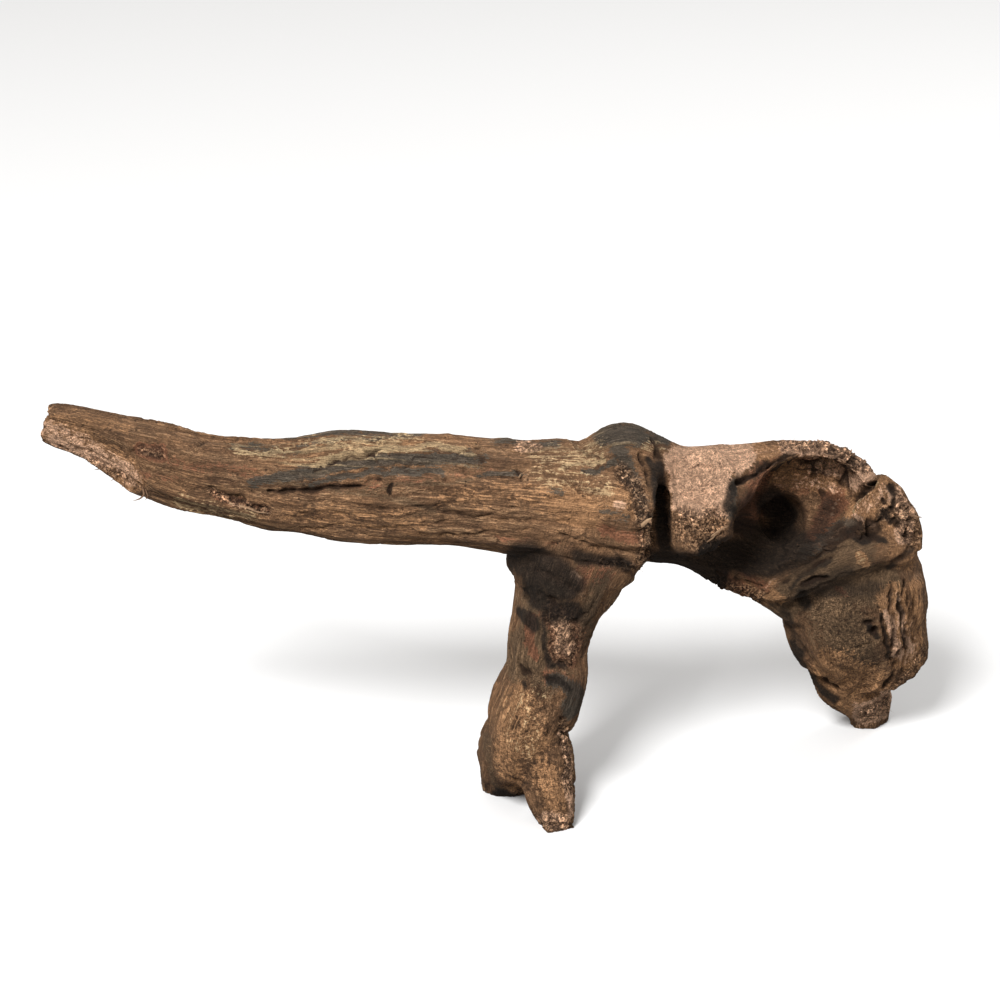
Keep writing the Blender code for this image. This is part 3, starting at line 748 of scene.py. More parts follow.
# Strokes of each tone, named by what they show on the root.
PATCHES: dict[Tone, tuple[Patch, ...]] = {
    Tone.TAN: (
        Patch("split face", 5.9, 0.9, (
            (-204.5, 32), (-197, 29), (-187, 24.5), (-177.5, 19.5), (-169, 13), (-166, 8.5),
        )),
        Patch("stub tip", 6.3, 1, ((82, -9), (90, -15.5), (97, -10))),
        Patch("rim, left", 4, 0.8, ((113.5, 21.5), (121.5, 20), (128, 23.5))),
        # Partly the hollow's upper wall tone, partly painted light where the rim shades the wall.
        Patch("inner wall, upper", 4, 0.8, ((124, 11.5), (135, 15.5), (148.5, 16))),
        Patch("foot tip", 6.3, 0.9, ((157.5, -92.5), (167.5, -90), (173.5, -87.5))),
        Patch("chip under the ear", 2.2, 1, ((163, -25), (164.5, -28.5))),
        Patch("burl", 6.8, 0.8, ((176.5, -7), (182.5, -16), (182, -25))),
        Patch("ear face", 6.3, 1, ((161, -5.5), (167.5, 0), (173.5, 3.5))),
        Patch("ear top", 2.7, 0.8, ((171, 7), (177, 5.5))),
        Patch("thin end, upper face", 4, 0.4, ((-198, 39.5), (-182, 36), (-169, 31.5))),
        Patch("leg, lower part", 9, 0.6, ((9, -90), (7, -101), (16, -110))),
        Patch("heel", 7.2, 0.55, ((2, -112.5), (7, -124))),
        Patch("toe", 5.9, 0.6, ((18, -117), (23.5, -133), (25, -140.5))),
        Patch("foot, low part", 9.9, 1, ((151, -77.5), (160, -83), (167.5, -87.5))),
        Patch("foot, ribs", 7.2, 0.9, ((177, -45), (182, -58.5), (183.5, -70))),
        Patch("stem, lower front", 5.9, 0.45, ((-27, 0), (0, 3.5), (27, 0), (45, -7))),
        Patch("stem, lower left", 5.4, 0.4, ((-94.5, -4.5), (-67.5, -8), (-36, -9))),
        Patch("between the top layers", 1.8, 0.7, ((-90, 25), (-67.5, 25), (-36, 26.5))),
        Patch("orange streaks", 2.7, 1, ((27, -8.5), (43, -10.5))),
        Patch("orange streak, low", 2.2, 0.9, ((45, -5.5), (59.5, -7))),
        Patch("near end, orange", 7.2, 0.8, ((27, 0), (40.5, -2), (52, 0))),
        Patch("third foot rib", 2.2, 0.8, ((187, -38), (189, -63))),
        Patch("lip edge", 2.2, 0.6, ((118, -41.5), (126, -32.5), (136, -25), (146.5, -18), (157.5, -11.5))),
        Patch("rim patch", 2.7, 1, ((135, 21.5), (141, 21))),
        Patch("between the bands", 1.1, 0.8, ((-90, 9.5), (-72, 13), (-52, 15.5), (-31.5, 16))),
        # Partly the hollow's top tone, partly painted light where the rim shades it.
        Patch("hollow, top", 5.4, 0.9, ((125, 10), (140.5, 9), (152, 3.5))),
        Patch("reddish lump", 3.1, 0.8, ((101.5, -36), (109, -42.5))),
        Patch("strap, lower lumps", 3.6, 0.6, ((110, -38), (119, -42.5), (126, -45))),
    ),
    Tone.PALE: (
        Patch("split face", 5.4, 0.5, (
            (-204.5, 32), (-197, 29), (-187, 24.5), (-177.5, 19.5), (-169, 13), (-166, 8.5),
        )),
        Patch("split face, lower edge", 3.1, 0.7, ((-201.5, 27), (-189, 21.5), (-178, 16))),
        Patch("stub face, top", 6.8, 1, ((80, 17), (90, 18.5), (100, 19.5), (108, 20))),
        Patch("stub face, middle", 6.8, 1, ((83, 7.5), (90, 8), (96.5, 10))),
        Patch("stub face, low", 6.8, 0.95, ((84.5, -2), (92, -1.5), (97, 0))),
        Patch("stub tip", 4, 0.35, ((83, -10), (90, -12.5), (95.5, -8))),
        Patch("rim, left", 3.6, 0.3, ((111.5, 22.5), (120.5, 21.5), (128, 24))),
        Patch("rim, crest", 5, 1, ((130.5, 25), (144, 25), (155, 22.5), (164.5, 13.5))),
        # Partly the hollow's top tone, partly painted light where the rim shades it.
        Patch("hollow, top", 4.5, 0.35, ((126, 8.5), (140.5, 8), (151, 4.5))),
        Patch("inner wall, right", 5, 0.6, ((142, 14.5), (154, 13.5), (161, 8))),
        Patch("leg scar", 5, 0.62, ((28, -56), (29.5, -60.5), (29, -66.5))),
        Patch("leg, upper pink spot", 2.2, 0.9, ((33, -33.5), (35, -34.5))),
        Patch("toe, right edge", 2.7, 0.6, ((28, -106), (30.5, -117), (31.5, -130.5), (32.5, -140.5))),
        Patch("toe tip", 4, 0.85, ((20.5, -144), (28, -146.5))),
        Patch("foot tip", 5, 1, ((163, -96.5), (171, -93.5), (174.5, -91))),
        Patch("knot on top", 3.1, 0.55, ((8.5, 24.5), (16, 24))),
        Patch("round spot", 2.7, 0.6, ((53.5, -2), (54.5, -2.5))),
        Patch("scar splinter line", 1.1, 0.6, ((-120.5, -2), (-112.5, -4))),
        Patch("burl crumbs", 4, 0.95, ((179, 1), (183.5, -7), (182, -15.5))),
        Patch("flap edge", 1.4, 0.8, ((109, 13.5), (106, 6.5))),
        Patch("end of the lower stem", 2.2, 0.35, ((49.5, -27), (63, -29))),
        Patch("ear face", 5, 0.4, ((163, -3.5), (168.5, 0), (173.5, 3.5))),
        Patch("ear, lower edge", 1.1, 0.8, ((159, -7), (163, -10.5), (167.5, -10.5))),
        Patch("foot, ribs", 5.4, 0.4, ((177, -45), (182, -58.5), (183.5, -70))),
        Patch("foot rib", 1.8, 0.6, ((175.5, -52), (178, -63), (181, -71))),
        Patch("foot rib, edge", 1.4, 0.75, ((173, -49.5), (176.5, -63), (178, -70))),
        Patch("second foot rib", 1.4, 0.7, ((179.5, -45), (183, -63), (184.5, -68.5))),
        Patch("burl rim", 0.8, 0.25, ((188, -20), (186, -27), (178.5, -31.5), (171, -32.5))),
        Patch("lip edge", 0.7, 0.45, ((118, -41.5), (126, -32.5), (136, -25), (146.5, -18), (157.5, -11.5))),
        Patch("hollow, upper wall lump", 2.2, 0.45, ((140.5, 7), (149.5, 4.5))),
        Patch("hollow, crack edge", 1.4, 0.5, ((152, 0), (148.5, -7))),
    ),
    Tone.RED: (
        Patch("round the leg scar", 8.1, 0.7, ((26, -53), (30.5, -60.5), (28, -69.5))),
        Patch("stem, upper left", 3.1, 0.4, ((-148.5, 17), (-126, 14.5), (-108, 11.5))),
        Patch("rim patch", 2.2, 0.7, ((135, 21), (141, 20.5))),
        Patch("leg, left of the scar", 2.2, 0.9, ((13.5, -53), (12.5, -63), (16, -70))),
        Patch("leg hollow", 4.5, 0.6, ((22.5, -78.5), (28, -82), (34, -85.5))),
        Patch("knot", 4, 1, ((-160.5, 22.5), (-154, 21.5))),
        Patch("scar", 2.2, 0.9, ((-128.5, 2.5), (-121.5, 0), (-106, -4.5))),
        Patch("purple wood", 3.6, 0.6, ((45, -13.5), (63, -18))),
        Patch("purple wood, left", 2.2, 0.4, ((0, -17), (27, -20))),
        Patch("hollow, top", 5.4, 0.4, ((126, 7), (142, 5.5), (151, 1))),
        Patch("hollow, right", 5.9, 0.9, ((151, 0), (146.5, -9), (142, -18))),
        Patch("hollow, left", 5.9, 0.7, ((119, 10), (113.5, 0), (110.5, -11))),
        Patch("reddish lump", 4, 0.8, ((100, -35), (109, -41.5))),
        Patch("red mark", 1.8, 0.6, ((153, -39.5), (155.5, -43))),
        Patch("under the scar", 2.2, 0.4, ((-171, 13.5), (-144, 9))),
        Patch("rim edge", 1.8, 0.5, ((112.5, 13.5), (130.5, 21.5))),
        Patch("lip, left", 2.7, 0.6, ((110, -32.5), (119, -40.5))),
        Patch("stem, middle", 2.7, 0.35, ((-90, 4.5), (-45, 8), (0, 13.5))),
        Patch("leg top, right", 7.2, 0.5, ((38, -34), (45, -31.5))),
    ),
    Tone.OCHRE: (
        Patch("chip under the ear", 1.8, 0.4, ((163, -25), (164.5, -28.5))),
        Patch("ear, lower left edge", 0.7, 0.7, ((158, -5.5), (161, -2), (165.5, 3.5), (170, 8))),
        Patch("leg, lower part", 7.2, 0.15, ((9, -92), (11, -110))),
        Patch("left stripe", 1.8, 0.7, ((-119, 21.5), (-107, 20.5), (-94.5, 22.5))),
        Patch("jagged layer edge", 1.6, 1, ((-84.5, 15.5), (-76.5, 18.5), (-67.5, 21.5), (-57.5, 22), (-49.5, 24))),
        Patch("layer edge, right", 1.4, 0.9, ((-49.5, 24), (-39.5, 23), (-29, 25), (-16.5, 23))),
        Patch("top layers", 1.4, 0.4, ((-90, 26.5), (-67.5, 26.5), (-36, 28.5))),
        Patch("second top layer", 1.1, 0.7, ((-76.5, 24), (-63, 25.5), (-45, 26.5))),
        Patch("yellow end", 4.5, 0.4, ((18, 19), (31.5, 20), (44, 22.5))),
        Patch("yellow end, low", 4, 0.32, ((20, 10), (34, 8), (47.5, 6))),
        Patch("pale line", 1.1, 0.9, ((27, 13.5), (36, 16), (46, 18))),
        Patch("lower left edge", 2.7, 0.5, ((-144, 0), (-128, -5.5), (-112.5, -7))),
        Patch("leg, yellow spot", 2.2, 0.5, ((17, -84.5), (19.5, -87.5))),
        Patch("leg, pale flank", 2.7, 0.3, ((11, -106), (13.5, -117))),
        Patch("rim, left top", 2.2, 0.4, ((65, 25), (72, 24))),
    ),
    Tone.SHADE: (
        Patch("ear, right edge", 1.1, 0.8, ((175.5, 7), (178, 2), (176.5, -3.5), (171, -8))),
        Patch("inside the burl rim", 1.4, 0.7, ((184.5, -20.5), (182, -26), (174.5, -29.5))),
        Patch("under the lip edge", 1.4, 0.7, ((130.5, -40.5), (137.5, -34), (148.5, -27))),
        Patch("foot, shadow under the lip", 4.5, 0.6, ((144, -40.5), (157.5, -39.5), (171, -40.5))),
        Patch("lip, lower side", 3.6, 0.6, ((135, -43), (148.5, -34), (157.5, -31.5))),
        Patch("round the scar", 1.4, 0.8, ((20, -52), (19.5, -63), (22.5, -74), (29.5, -75.5))),
        Patch("foot groove", 0.9, 0.8, ((171, -50.5), (173.5, -63), (175.5, -70))),
        Patch("second foot groove", 0.9, 0.7, ((178.5, -43), (181, -58.5), (182, -67.5))),
        Patch("flap edge", 2.7, 0.8, ((103.5, 6), (102.5, -3.5))),
        Patch("leg hollow, deep", 1.8, 0.8, ((22.5, -79), (30.5, -85))),
        Patch("leg, left pit", 2.7, 1, ((10, -51), (15, -58))),
        Patch("knot", 2.2, 0.5, ((-159.5, 21), (-154, 20))),
        Patch("hollow, right", 5.9, 0.65, ((148.5, -3.5), (144, -11), (139.5, -19))),
        Patch("hollow, left", 4.5, 0.6, ((111.5, 0), (109, -9), (110, -16))),
        Patch("kerf", 3.1, 1, ((70.5, 13.5), (72.5, 0), (74, -16), (75.5, -27))),
        Patch("kerf, top", 1.4, 0.9, ((66.5, 19), (69, 14.5))),
        Patch("strap", 7.7, 1, ((73, -29), (85.5, -31.5), (97, -32.5))),
        Patch("trough", 8.6, 1, ((95.5, -25), (108, -25), (121.5, -28), (135, -22.5))),
        Patch("black hole", 7.7, 1, ((122.5, -1.5), (128, -7), (126, -18))),
        Patch("hollow, low", 6.3, 0.8, ((108, -11), (117, -16), (135, -18))),
        Patch("leg top", 9, 1, ((11, -27), (21.5, -32.5), (29.5, -38))),
        Patch("leg top, low", 5, 1, ((18, -45), (25, -50.5), (33.5, -50.5))),
        Patch("leg top, left", 5, 0.9, ((13.5, -36), (20, -47))),
        Patch("under the stem", 3.6, 0.8, ((34, -26), (47, -27), (57.5, -29.5))),
        Patch("leg, right flank", 3.6, 0.5, ((47, -36), (41.5, -47), (38, -55))),
        Patch("leg pit", 2.2, 0.7, ((13, -51), (16, -56))),
        Patch("leg, middle pit", 2.2, 0.8, ((20.5, -46.5), (32.5, -47.5))),
        Patch("oval pit", 2.7, 0.9, ((137, -43), (138.5, -47.5))),
        Patch("slit", 1.4, 0.9, ((137.5, -38.5), (144, -35))),
        Patch("crescent fold", 1.8, 0.8, ((131.5, -63), (137, -77.5), (151, -90))),
        Patch("heel, underside", 2.2, 0.9, ((-2, -131.5), (9, -135))),
        Patch("lower hole", 1.6, 1, ((165.5, -55), (169, -61))),
        Patch("leg spot", 1.4, 0.9, ((11, -83), (11.5, -84.5))),
        Patch("ear pits", 2.7, 1, ((157.5, -14.5), (164.5, -18))),
        Patch("ear holes", 1.8, 0.9, ((168.5, -17), (173, -19))),
        Patch("burl pit", 1.8, 0.8, ((173.5, -5.5), (175.5, -9))),
        Patch("vertical crack", 0.9, 1, ((-49, 7), (-49, 3))),
        Patch("flap gap", 0.9, 0.8, ((107, 7), (117, 14.5), (129.5, 20))),
        Patch("foot, left edge", 2.7, 0.6, ((128.5, -49.5), (135, -67.5))),
    ),
    Tone.OLIVE: (
        Patch("stem, lower left flow", 1.8, 0.6, ((-112.5, 9), (-76.5, 5.5), (-45, 0), (-27, -4.5))),
        Patch("stem, middle flow", 1.6, 0.5, ((-54, -9), (-27, -4.5), (9, 4.5), (45, 5.5))),
        Patch("stem, under the band", 1.4, 0.6, ((-76.5, 3.5), (-45, 6.5), (-13.5, 8))),
        Patch("left weathered stripes", 1.8, 0.5, ((-122.5, 24.5), (-110, 24.5), (-97, 24))),
        Patch("collar, left", 2.7, 0.4, ((38, 21.5), (45, 24.5))),
        Patch("foot", 15.3, 0.75, ((149.5, -47), (155.5, -59.5), (158.5, -66.5))),
        Patch("foot, upper", 10.8, 0.9, ((155, -36), (171, -38))),
        Patch("lip", 7.7, 1, ((128, -47), (137, -38), (151, -28), (162, -23.5))),
        Patch("leg, right flank", 4, 0.8, ((46.5, -32.5), (41.5, -45), (36, -63))),
        Patch("leg, middle left", 6.3, 0.9, ((10, -63), (9, -76.5))),
        Patch("leg, whole upper part", 11.7, 0.8, ((20, -45), (20, -63), (21.5, -76.5))),
        Patch("leg, left edge", 2.2, 0.6, ((-6, -106), (-5, -121.5), (-1, -130.5))),
        Patch("under the collar", 2.7, 0.6, ((63, 29), (74, 27))),
    ),
    Tone.DARK: (
        Patch("band, left", 2.2, 0.9, ((-112.5, 8), (-101, 10), (-90, 11))),
        Patch("band", 2.7, 1, ((-90, 11.5), (-76.5, 14.5), (-63, 17), (-49.5, 18))),
        Patch("band, right", 2.7, 1, ((-49.5, 18), (-31.5, 18.5), (-13.5, 19.5))),
        Patch("band, low", 1.6, 0.9, ((-85.5, 7), (-70, 11), (-49.5, 12.5), (-27, 13))),
        Patch("top edge", 1.4, 0.9, ((-97, 28), (-83, 29.5), (-67.5, 30.5), (-36, 30.5))),
        Patch("second top edge", 0.9, 0.8, ((-76.5, 26.5), (-58.5, 27.5), (-40.5, 28.5))),
        Patch("grey stripe", 1.8, 0.6, ((-120.5, 24), (-107, 23), (-90, 20))),
        Patch("above the ochre edge", 1.4, 0.6, ((-90, 24), (-79, 25.5), (-67.5, 28))),
        Patch("exit hole", 2.7, 0.7, ((-15.5, 18.5), (-8, 18.5))),
        Patch("right of the hole", 1.4, 0.7, ((-2, 26), (9, 26.5), (27, 24.5))),
        Patch("grey streak", 1.1, 0.7, ((-11, 11), (0, 11), (9, 11.5))),
        Patch("small spot", 1.8, 0.6, ((25, 3.5), (27, 2.5))),
        Patch("collar", 4.5, 1, ((47, 28), (53, 30.5), (61, 29.5))),
        Patch("collar, right", 3.1, 0.8, ((61, 29.5), (67.5, 28), (74, 26.5))),
        Patch("collar, down", 3.6, 0.85, ((54, 25), (56.5, 17), (60.5, 9))),
        Patch("collar, low", 2.7, 0.7, ((60.5, 9), (64, 0), (65.5, -9))),
        Patch("collar, left arm", 1.6, 0.9, ((38, 12), (45, 14.5), (51.5, 17))),
        Patch("flap edge", 4, 1, ((102, 7), (102.5, 2), (102, -4.5))),
        # Painted shade in the hollow under the ear and to its left.
        Patch("under the ear", 4, 0.9, ((146.5, -18), (154, -13.5), (160, -11.5))),
        Patch("under the ear, left", 3.6, 0.6, ((137.5, -25), (146.5, -20))),
        # Painted shade in the leg hollow.
        Patch("leg hollow", 3.1, 1, ((25, -80.5), (29.5, -83.5), (35, -86.5))),
        Patch("leg, right flank below", 4, 0.9, ((32.5, -85.5), (34, -90), (31.5, -95.5))),
        Patch("lower flank", 3.1, 0.7, ((34, -90), (29.5, -95.5))),
        Patch("purple end", 3.1, 0.5, ((47.5, -5.5), (57.5, -9))),
    ),
    Tone.TORN: (
        Patch("stub tip", 6.8, 1, ((83, -10), (90, -16), (95.5, -11))),
        Patch("rim crest", 3.1, 1, ((128, 25), (144, 25), (155.5, 22.5), (164.5, 14.5))),
        Patch("burl", 5, 1, ((175.5, -5.5), (182, -5.5), (185.5, -16))),
        Patch("stem end", 3.6, 0.9, ((55, 13.5), (62, 4.5), (65, -9), (65.5, -25))),
        Patch("knot", 3.1, 0.7, ((-160.5, 22.5), (-154, 21.5))),
        Patch("scar", 2, 1, ((-129.5, 3.5), (-119, -1), (-105.5, -5))),
        Patch("rough patch", 3.6, 0.35, ((31.5, 6.5), (47.5, 1))),
        Patch("leg scar", 7.2, 0.7, ((26, -52), (30.5, -60.5), (28, -69.5))),
        Patch("toe, right edge", 2.7, 0.9, ((28, -101), (30.5, -117), (31.5, -130.5))),
        Patch("toe tip", 4, 1, ((20.5, -145), (29, -146))),
        Patch("foot tip", 3.6, 0.8, ((164.5, -97), (174.5, -92))),
        Patch("ear edge", 1.8, 0.8, ((178, 5.5), (182.5, -2))),
        Patch("thin tip", 2.2, 0.6, ((-205, 39.5), (-202.5, 41.5))),
        Patch("thin end, underside", 1.4, 0.8, ((-198, 22.5), (-180, 15), (-163, 5.5))),
        Patch("step at the foot", 1.8, 0.6, ((191, -68.5), (183.5, -77.5), (177, -85.5))),
        Patch("foot tip, right edge", 1.8, 0.8, ((174.5, -90), (176.5, -95.5))),
        Patch("knot on top", 2.7, 0.6, ((8.5, 24.5), (16, 24))),
        Patch("end of the lower stem", 2.2, 0.7, ((45, -28), (63, -30.5))),
        Patch("hollow, upper right", 3.6, 0.45, ((135, 17), (149.5, 17), (157.5, 11.5))),
        Patch("strap, lower edge", 2.7, 0.8, ((97, -35), (106, -39.5), (117, -43.5))),
    ),
    Tone.LAYER: (
        Patch("left stripes", 5, 0.8, ((-124, 23.5), (-107, 22.5), (-90, 20))),
        Patch("bark", 6.8, 1, ((-94.5, 20), (-72, 21.5), (-45, 24.5))),
        Patch("bark, right", 5, 0.9, ((-45, 24.5), (-27, 22.5), (-11, 20))),
        Patch("end", 4, 0.5, ((13.5, 23.5), (31.5, 22.5), (45, 23.5))),
        Patch("collar", 3.6, 0.5, ((45, 27), (58.5, 25))),
    ),
    Tone.SMOOTH: (
        Patch("split face", 5, 0.6, ((-204.5, 32), (-187, 24.5), (-169, 13))),
        Patch("stub face", 8.1, 0.5, ((85.5, 17), (99, 18), (108, 20))),
        Patch("stub face, low", 7.2, 0.5, ((85.5, 4.5), (95.5, 6.5))),
        Patch("ear face", 5.4, 0.5, ((161, -5.5), (167.5, 0), (173, 3.5))),
        Patch("hollow", 11.7, 0.5, ((121.5, 9), (148.5, 4.5))),
        Patch("foot", 14.4, 0.85, ((151, -50.5), (157.5, -63), (165.5, -81))),
        Patch("leg, lower part", 9, 0.75, ((18, -85.5), (14.5, -106), (18, -128))),
        Patch("heel", 6.3, 0.6, ((0, -110), (3.5, -128))),
        Patch("toe", 5.4, 0.5, ((25, -121.5), (27, -139.5))),
    ),
}


@dataclass(frozen=True)
class Heights:
    """The relief at each point, in millimetres, and what the finish needs to know of it.

    Attributes:
        height: How far the point moves along its normal.
        sunk: How deep it lies in a crack, a check or between crumbs, which sets how much shade the finish paints there.
        edge: Where a layer of bark breaks off, from 0 to 1.
    """

    height: Array
    sunk: Array
    edge: Array

# edge: Where a layer of bark breaks off, from 0 to 1; the finish paints it ochre, for the bared wood and as painted
# highlight.

class Seed(IntEnum):
    """Where each noise starts its random draws. A limb's, an axis's or a cell's number is added to it."""

    SWAY = 60
    FINE = 70
    HAIR = 90
    FLAKE = 100
    LAYER = 110
    RAGGED = 130
    CHECK_SWAY = 145
    CHECK = 150
    CHECK_PLACE = 170
    CRUMB_BEND = 180
    CRUMB = 190
    WAVER = 400
    DEPTH = 420


@dataclass(frozen=True)
class Relief:
    """Heights of the skin over the plain limbs, in millimetres. A cell is a noise's size along and across a limb.

    Attributes:
        mark_width: Share of a solid mark's width that the scene keeps.
        fine_mark_width: The same share for the marks that only the scene has.
        broad_depth: Share of the depth that a broad mark keeps; cracks keep all of theirs.
        crack_ratio: A mark that is deeper than its width times this is a crack.
        depth_cell: Size of the noise that a mark's depth varies by.
        waver: How far noise shifts what is drawn on the sight plane.
        layer_levels: How many layers of bark there are from the lowest to the highest.
        layer_rise: Share of a layer over which its broken edge rises.
        torn_cells: Sizes of the crumbs, and each size's share of the height.
        smooth_share: How much of the fine relief smooth wood loses.
        crack_shade: How much painted shade cracks get, and below it the same for broad marks, gaps between crumbs and
            layer edges.
    """

    mark_width: float = 0.62
    fine_mark_width: float = 0.9
    broad_depth: float = 0.6
    crack_ratio: float = 0.95
    depth_cell: float = 3.6
    waver: float = 2.0
    sway: float = 2.2
    sway_cell: Point = (26.0, 9.0, 9.0)
    fine_height: float = 0.5
    fine_cell: Point = (42.0, 3.3, 3.3)
    hair_height: float = 0.3
    hair_cell: Point = (20.0, 1.5, 1.5)
    flake_height: float = 0.5
    flake_cell: Point = (9.0, 3.0, 3.0)
    layer_height: float = 4.2
    layer_levels: float = 3.4
    layer_cell: Point = (60.0, 9.5, 9.5)
    layer_rise: float = 0.16
    ragged_cell: Point = (13.0, 2.8, 2.8)
    check_depth: float = 0.9
    check_cell: Point = (20.0, 5.0, 5.0)
    check_sway_cell: Point = (9.0, 6.0, 6.0)
    check_place_cell: Point = (30.0, 12.0, 12.0)
    torn_height: float = 1.5
    torn_cells: tuple[tuple[float, float], ...] = ((5.2, 0.75), (2.5, 0.45), (1.3, 0.2))
    crumb_bend: float = 1.5
    crumb_bend_cell: float = 2.8
    smooth_share: float = 0.75
    # Painted shade: how dark cracks, broad marks, gaps between crumbs and layer edges are painted, through sunk.
    crack_shade: float = 0.8
    broad_mark_shade: float = 0.25
    crumb_gap_shade: float = 1.1
    layer_edge_shade: float = 1.3

    def solid_ridges(self, number: int, at: Array) -> Array:
        """The solid's ridges: level - 2 |noise| along the grain, and a finer set on top."""
        at = at / (RIDGE_LENGTH, RIDGE_SPACING, RIDGE_SPACING)
        return (
            RIDGE_LEVEL
            - 2 * abs(Noise(SEED + number)(at))
            + FINE_RIDGE_SHARE * Noise(SEED - number)(FINE_RIDGE_RATE * at)
        )

    def fine_ridges(self, number: int, at: Array) -> Array:
        """Narrow ridges that sway along the limb, hairs between them, and small flakes on top.

        height = fine (0.4 - 1.6 |noise|) + hair (0.4 - 1.2 |noise|) + flake noise.

        Args:
            number: The limb's number.
            at: Places along and across the limb.
        Returns:
            Heights in millimetres.
        """
        bend = self.sway * Noise(Seed.SWAY + number)(at / self.sway_cell)
        at = at + bend[:, None] * SIDEWAYS
        fine = Noise(Seed.FINE + number).fractal(at / self.fine_cell, 2)
        hair = Noise(Seed.HAIR + number)(at / self.hair_cell)
        flake = Noise(Seed.FLAKE + number).fractal(at / self.flake_cell, 3)
        return (
            self.fine_height * (0.4 - 1.6 * abs(fine))
            + self.hair_height * (0.4 - 1.2 * abs(hair))
            + self.flake_height * flake
        )

    def layer_place(self, number: int, at: Array) -> Array:
        """Where a point lies among the layers of bark: levels (0.5 + 0.55 field + 0.13 ragged edge)."""
        field = Noise(Seed.LAYER + number)(at / self.layer_cell)
        ragged = Noise(Seed.RAGGED + number).fractal(at / self.ragged_cell, 3)
        return (0.5 + 0.55 * field + 0.13 * ragged) * self.layer_levels

    def checks(self, number: int, at: Array) -> Array:
        """Drying checks: grooves where a noise is nearly 0, kept only where a broader noise is high."""
        at = at + Noise(Seed.CHECK_SWAY + number)(at / self.check_sway_cell)[:, None] * SIDEWAYS
        near = 1 - abs(Noise(Seed.CHECK + number)(at / self.check_cell))
        here = ease(Noise(Seed.CHECK_PLACE + number)(at / self.check_place_cell), 0.1, 0.45)
        return -self.check_depth * ease(near, 0.9, 0.99) * here

    def crumbs(self, points: Array) -> tuple[Array, Array]:
        """Crumbly wood: broken lumps of three sizes with cracks between them.

        height = sum of share (0.8 lump (1 - crack) - 1.1 crack), with points bent by noise first.

        Args:
            points: Points in millimetres.
        Returns:
            Heights from about -1.5 to 1, and how deep in a crack each point is, from 0 to 1.
        """
        noises = [Noise(Seed.CRUMB_BEND + axis) for axis in range(3)]
        bend = np.column_stack([noise.fractal(points / self.crumb_bend_cell, 2) for noise in noises])
        total, cracks = np.zeros(len(points)), np.zeros(len(points))
        for number, (cell, share) in enumerate(self.torn_cells):
            lump, gap = Shards(Seed.CRUMB + number)((points + self.crumb_bend * bend) / cell)
            crack = 1 - ease(gap, 0.02, 0.3)
            total += share * (0.8 * lump * (1 - crack) - 1.1 * crack)
            cracks = np.maximum(cracks, crack * min(1, share * 2))
        return total, cracks

    def drawn(self, points: Array, normals: Array, sight: SightPlane) -> tuple[Array, Array]:
        """How deep the marks press the skin in, on the side that faces the eye.

        depth (0.8 + noise) exp(-(distance / width)^2), with spots and width wavering and ends that taper.

        Args:
            points: Points in millimetres.
            normals: Their normals.
            sight: The plane that marks are drawn on.
        Returns:
            Depths of all marks, and of the cracks among them.
        """
        spots, to_eye, _ = sight.spots(points)
        spots = wavered(points, spots, self.waver)
        facing = (normals * to_eye).sum(axis=1)
        rows = np.flatnonzero(facing > 0)
        noise = Noise(Seed.DEPTH).fractal(points[rows] / self.depth_cell, 2)
        uneven = np.clip(0.8 + noise, 0.25, 1.2)
        every, cracks = np.zeros(len(points)), np.zeros(len(points))
        for mark in (*MARKS, *FINE_MARKS):
            crack = mark.depth > self.crack_ratio * mark.width
            width = mark.width * (self.mark_width if mark in MARKS else self.fine_mark_width)
            depth = mark.depth * (1 if crack else self.broad_depth)
            away, along = distance_to_line(spots[rows], mark.points)
            taper = 0.5 + 0.5 * np.sqrt(np.sin(np.pi * np.clip(along, 0.02, 0.98))) if mark.long else 1
            pressed = depth * uneven * np.exp(-((away / (width * taper)) ** 2))
            every[rows] += pressed
            if crack:
                cracks[rows] += pressed
        soft = np.clip(2 * facing, 0, 1)
        return every * soft, cracks * soft

    def heights(self, points: Array, normals: Array, tones: dict[Tone, Array], sight: SightPlane) -> Heights:
        """All of the relief: ridges and lumps as the solid's, then layers, fine grain, checks, crumbs and marks.

        Args:
            points: Points in millimetres.
            normals: Their normals.
            tones: Masks of the relief tones.
            sight: The plane that marks are drawn on.
        Returns:
            The heights.
        """
        grain = GrainField(LIMBS, points)
        calm = 1 - self.smooth_share * tones[Tone.SMOOTH]
        torn = tones[Tone.TORN] * (1 - 0.5 * tones[Tone.SMOOTH])
        solid = RIDGE_HEIGHT * grain.blend(self.solid_ridges) * (1 - 0.5 * (1 - calm))
        solid += LUMP_HEIGHT * Noise(SEED)(points / LUMP_SPACING + LUMP_SHIFT)
        fine = grain.blend(self.fine_ridges, tapered=True) * calm * (1 - 0.5 * torn)
        checks = grain.blend(self.checks, tapered=True) * calm
        place = grain.blend(self.layer_place, tapered=True)
        layered = tones[Tone.LAYER]
        step = ease(place % 1, 0, self.layer_rise)
        layers = self.layer_height * ((np.floor(place) + step) / self.layer_levels - 0.5) * layered
        crumbs, gaps = np.zeros(len(points)), np.zeros(len(points))
        rows = np.flatnonzero(torn > 0.02)
        crumbs[rows], gaps[rows] = self.crumbs(points[rows])
        crumbs = self.torn_height * (crumbs - 0.1) * torn
        every, cracks = self.drawn(points, normals, sight)
        return Heights(
            height=solid + fine + checks + layers + crumbs - every,
            # sunk is where the finish paints shade: cracks, broad marks, checks, gaps between crumbs and layer edges.
            sunk=self.crack_shade * cracks
            + self.broad_mark_shade * np.maximum(every - cracks, 0)
            - checks
            + self.crumb_gap_shade * torn * gaps
            + self.layer_edge_shade * layered * ease(place % 1, 0.8, 1) * (1 - step),
            edge=layered * (1 - ease(abs(place % 1 - 0.2), 0.08, 0.2)),
        )


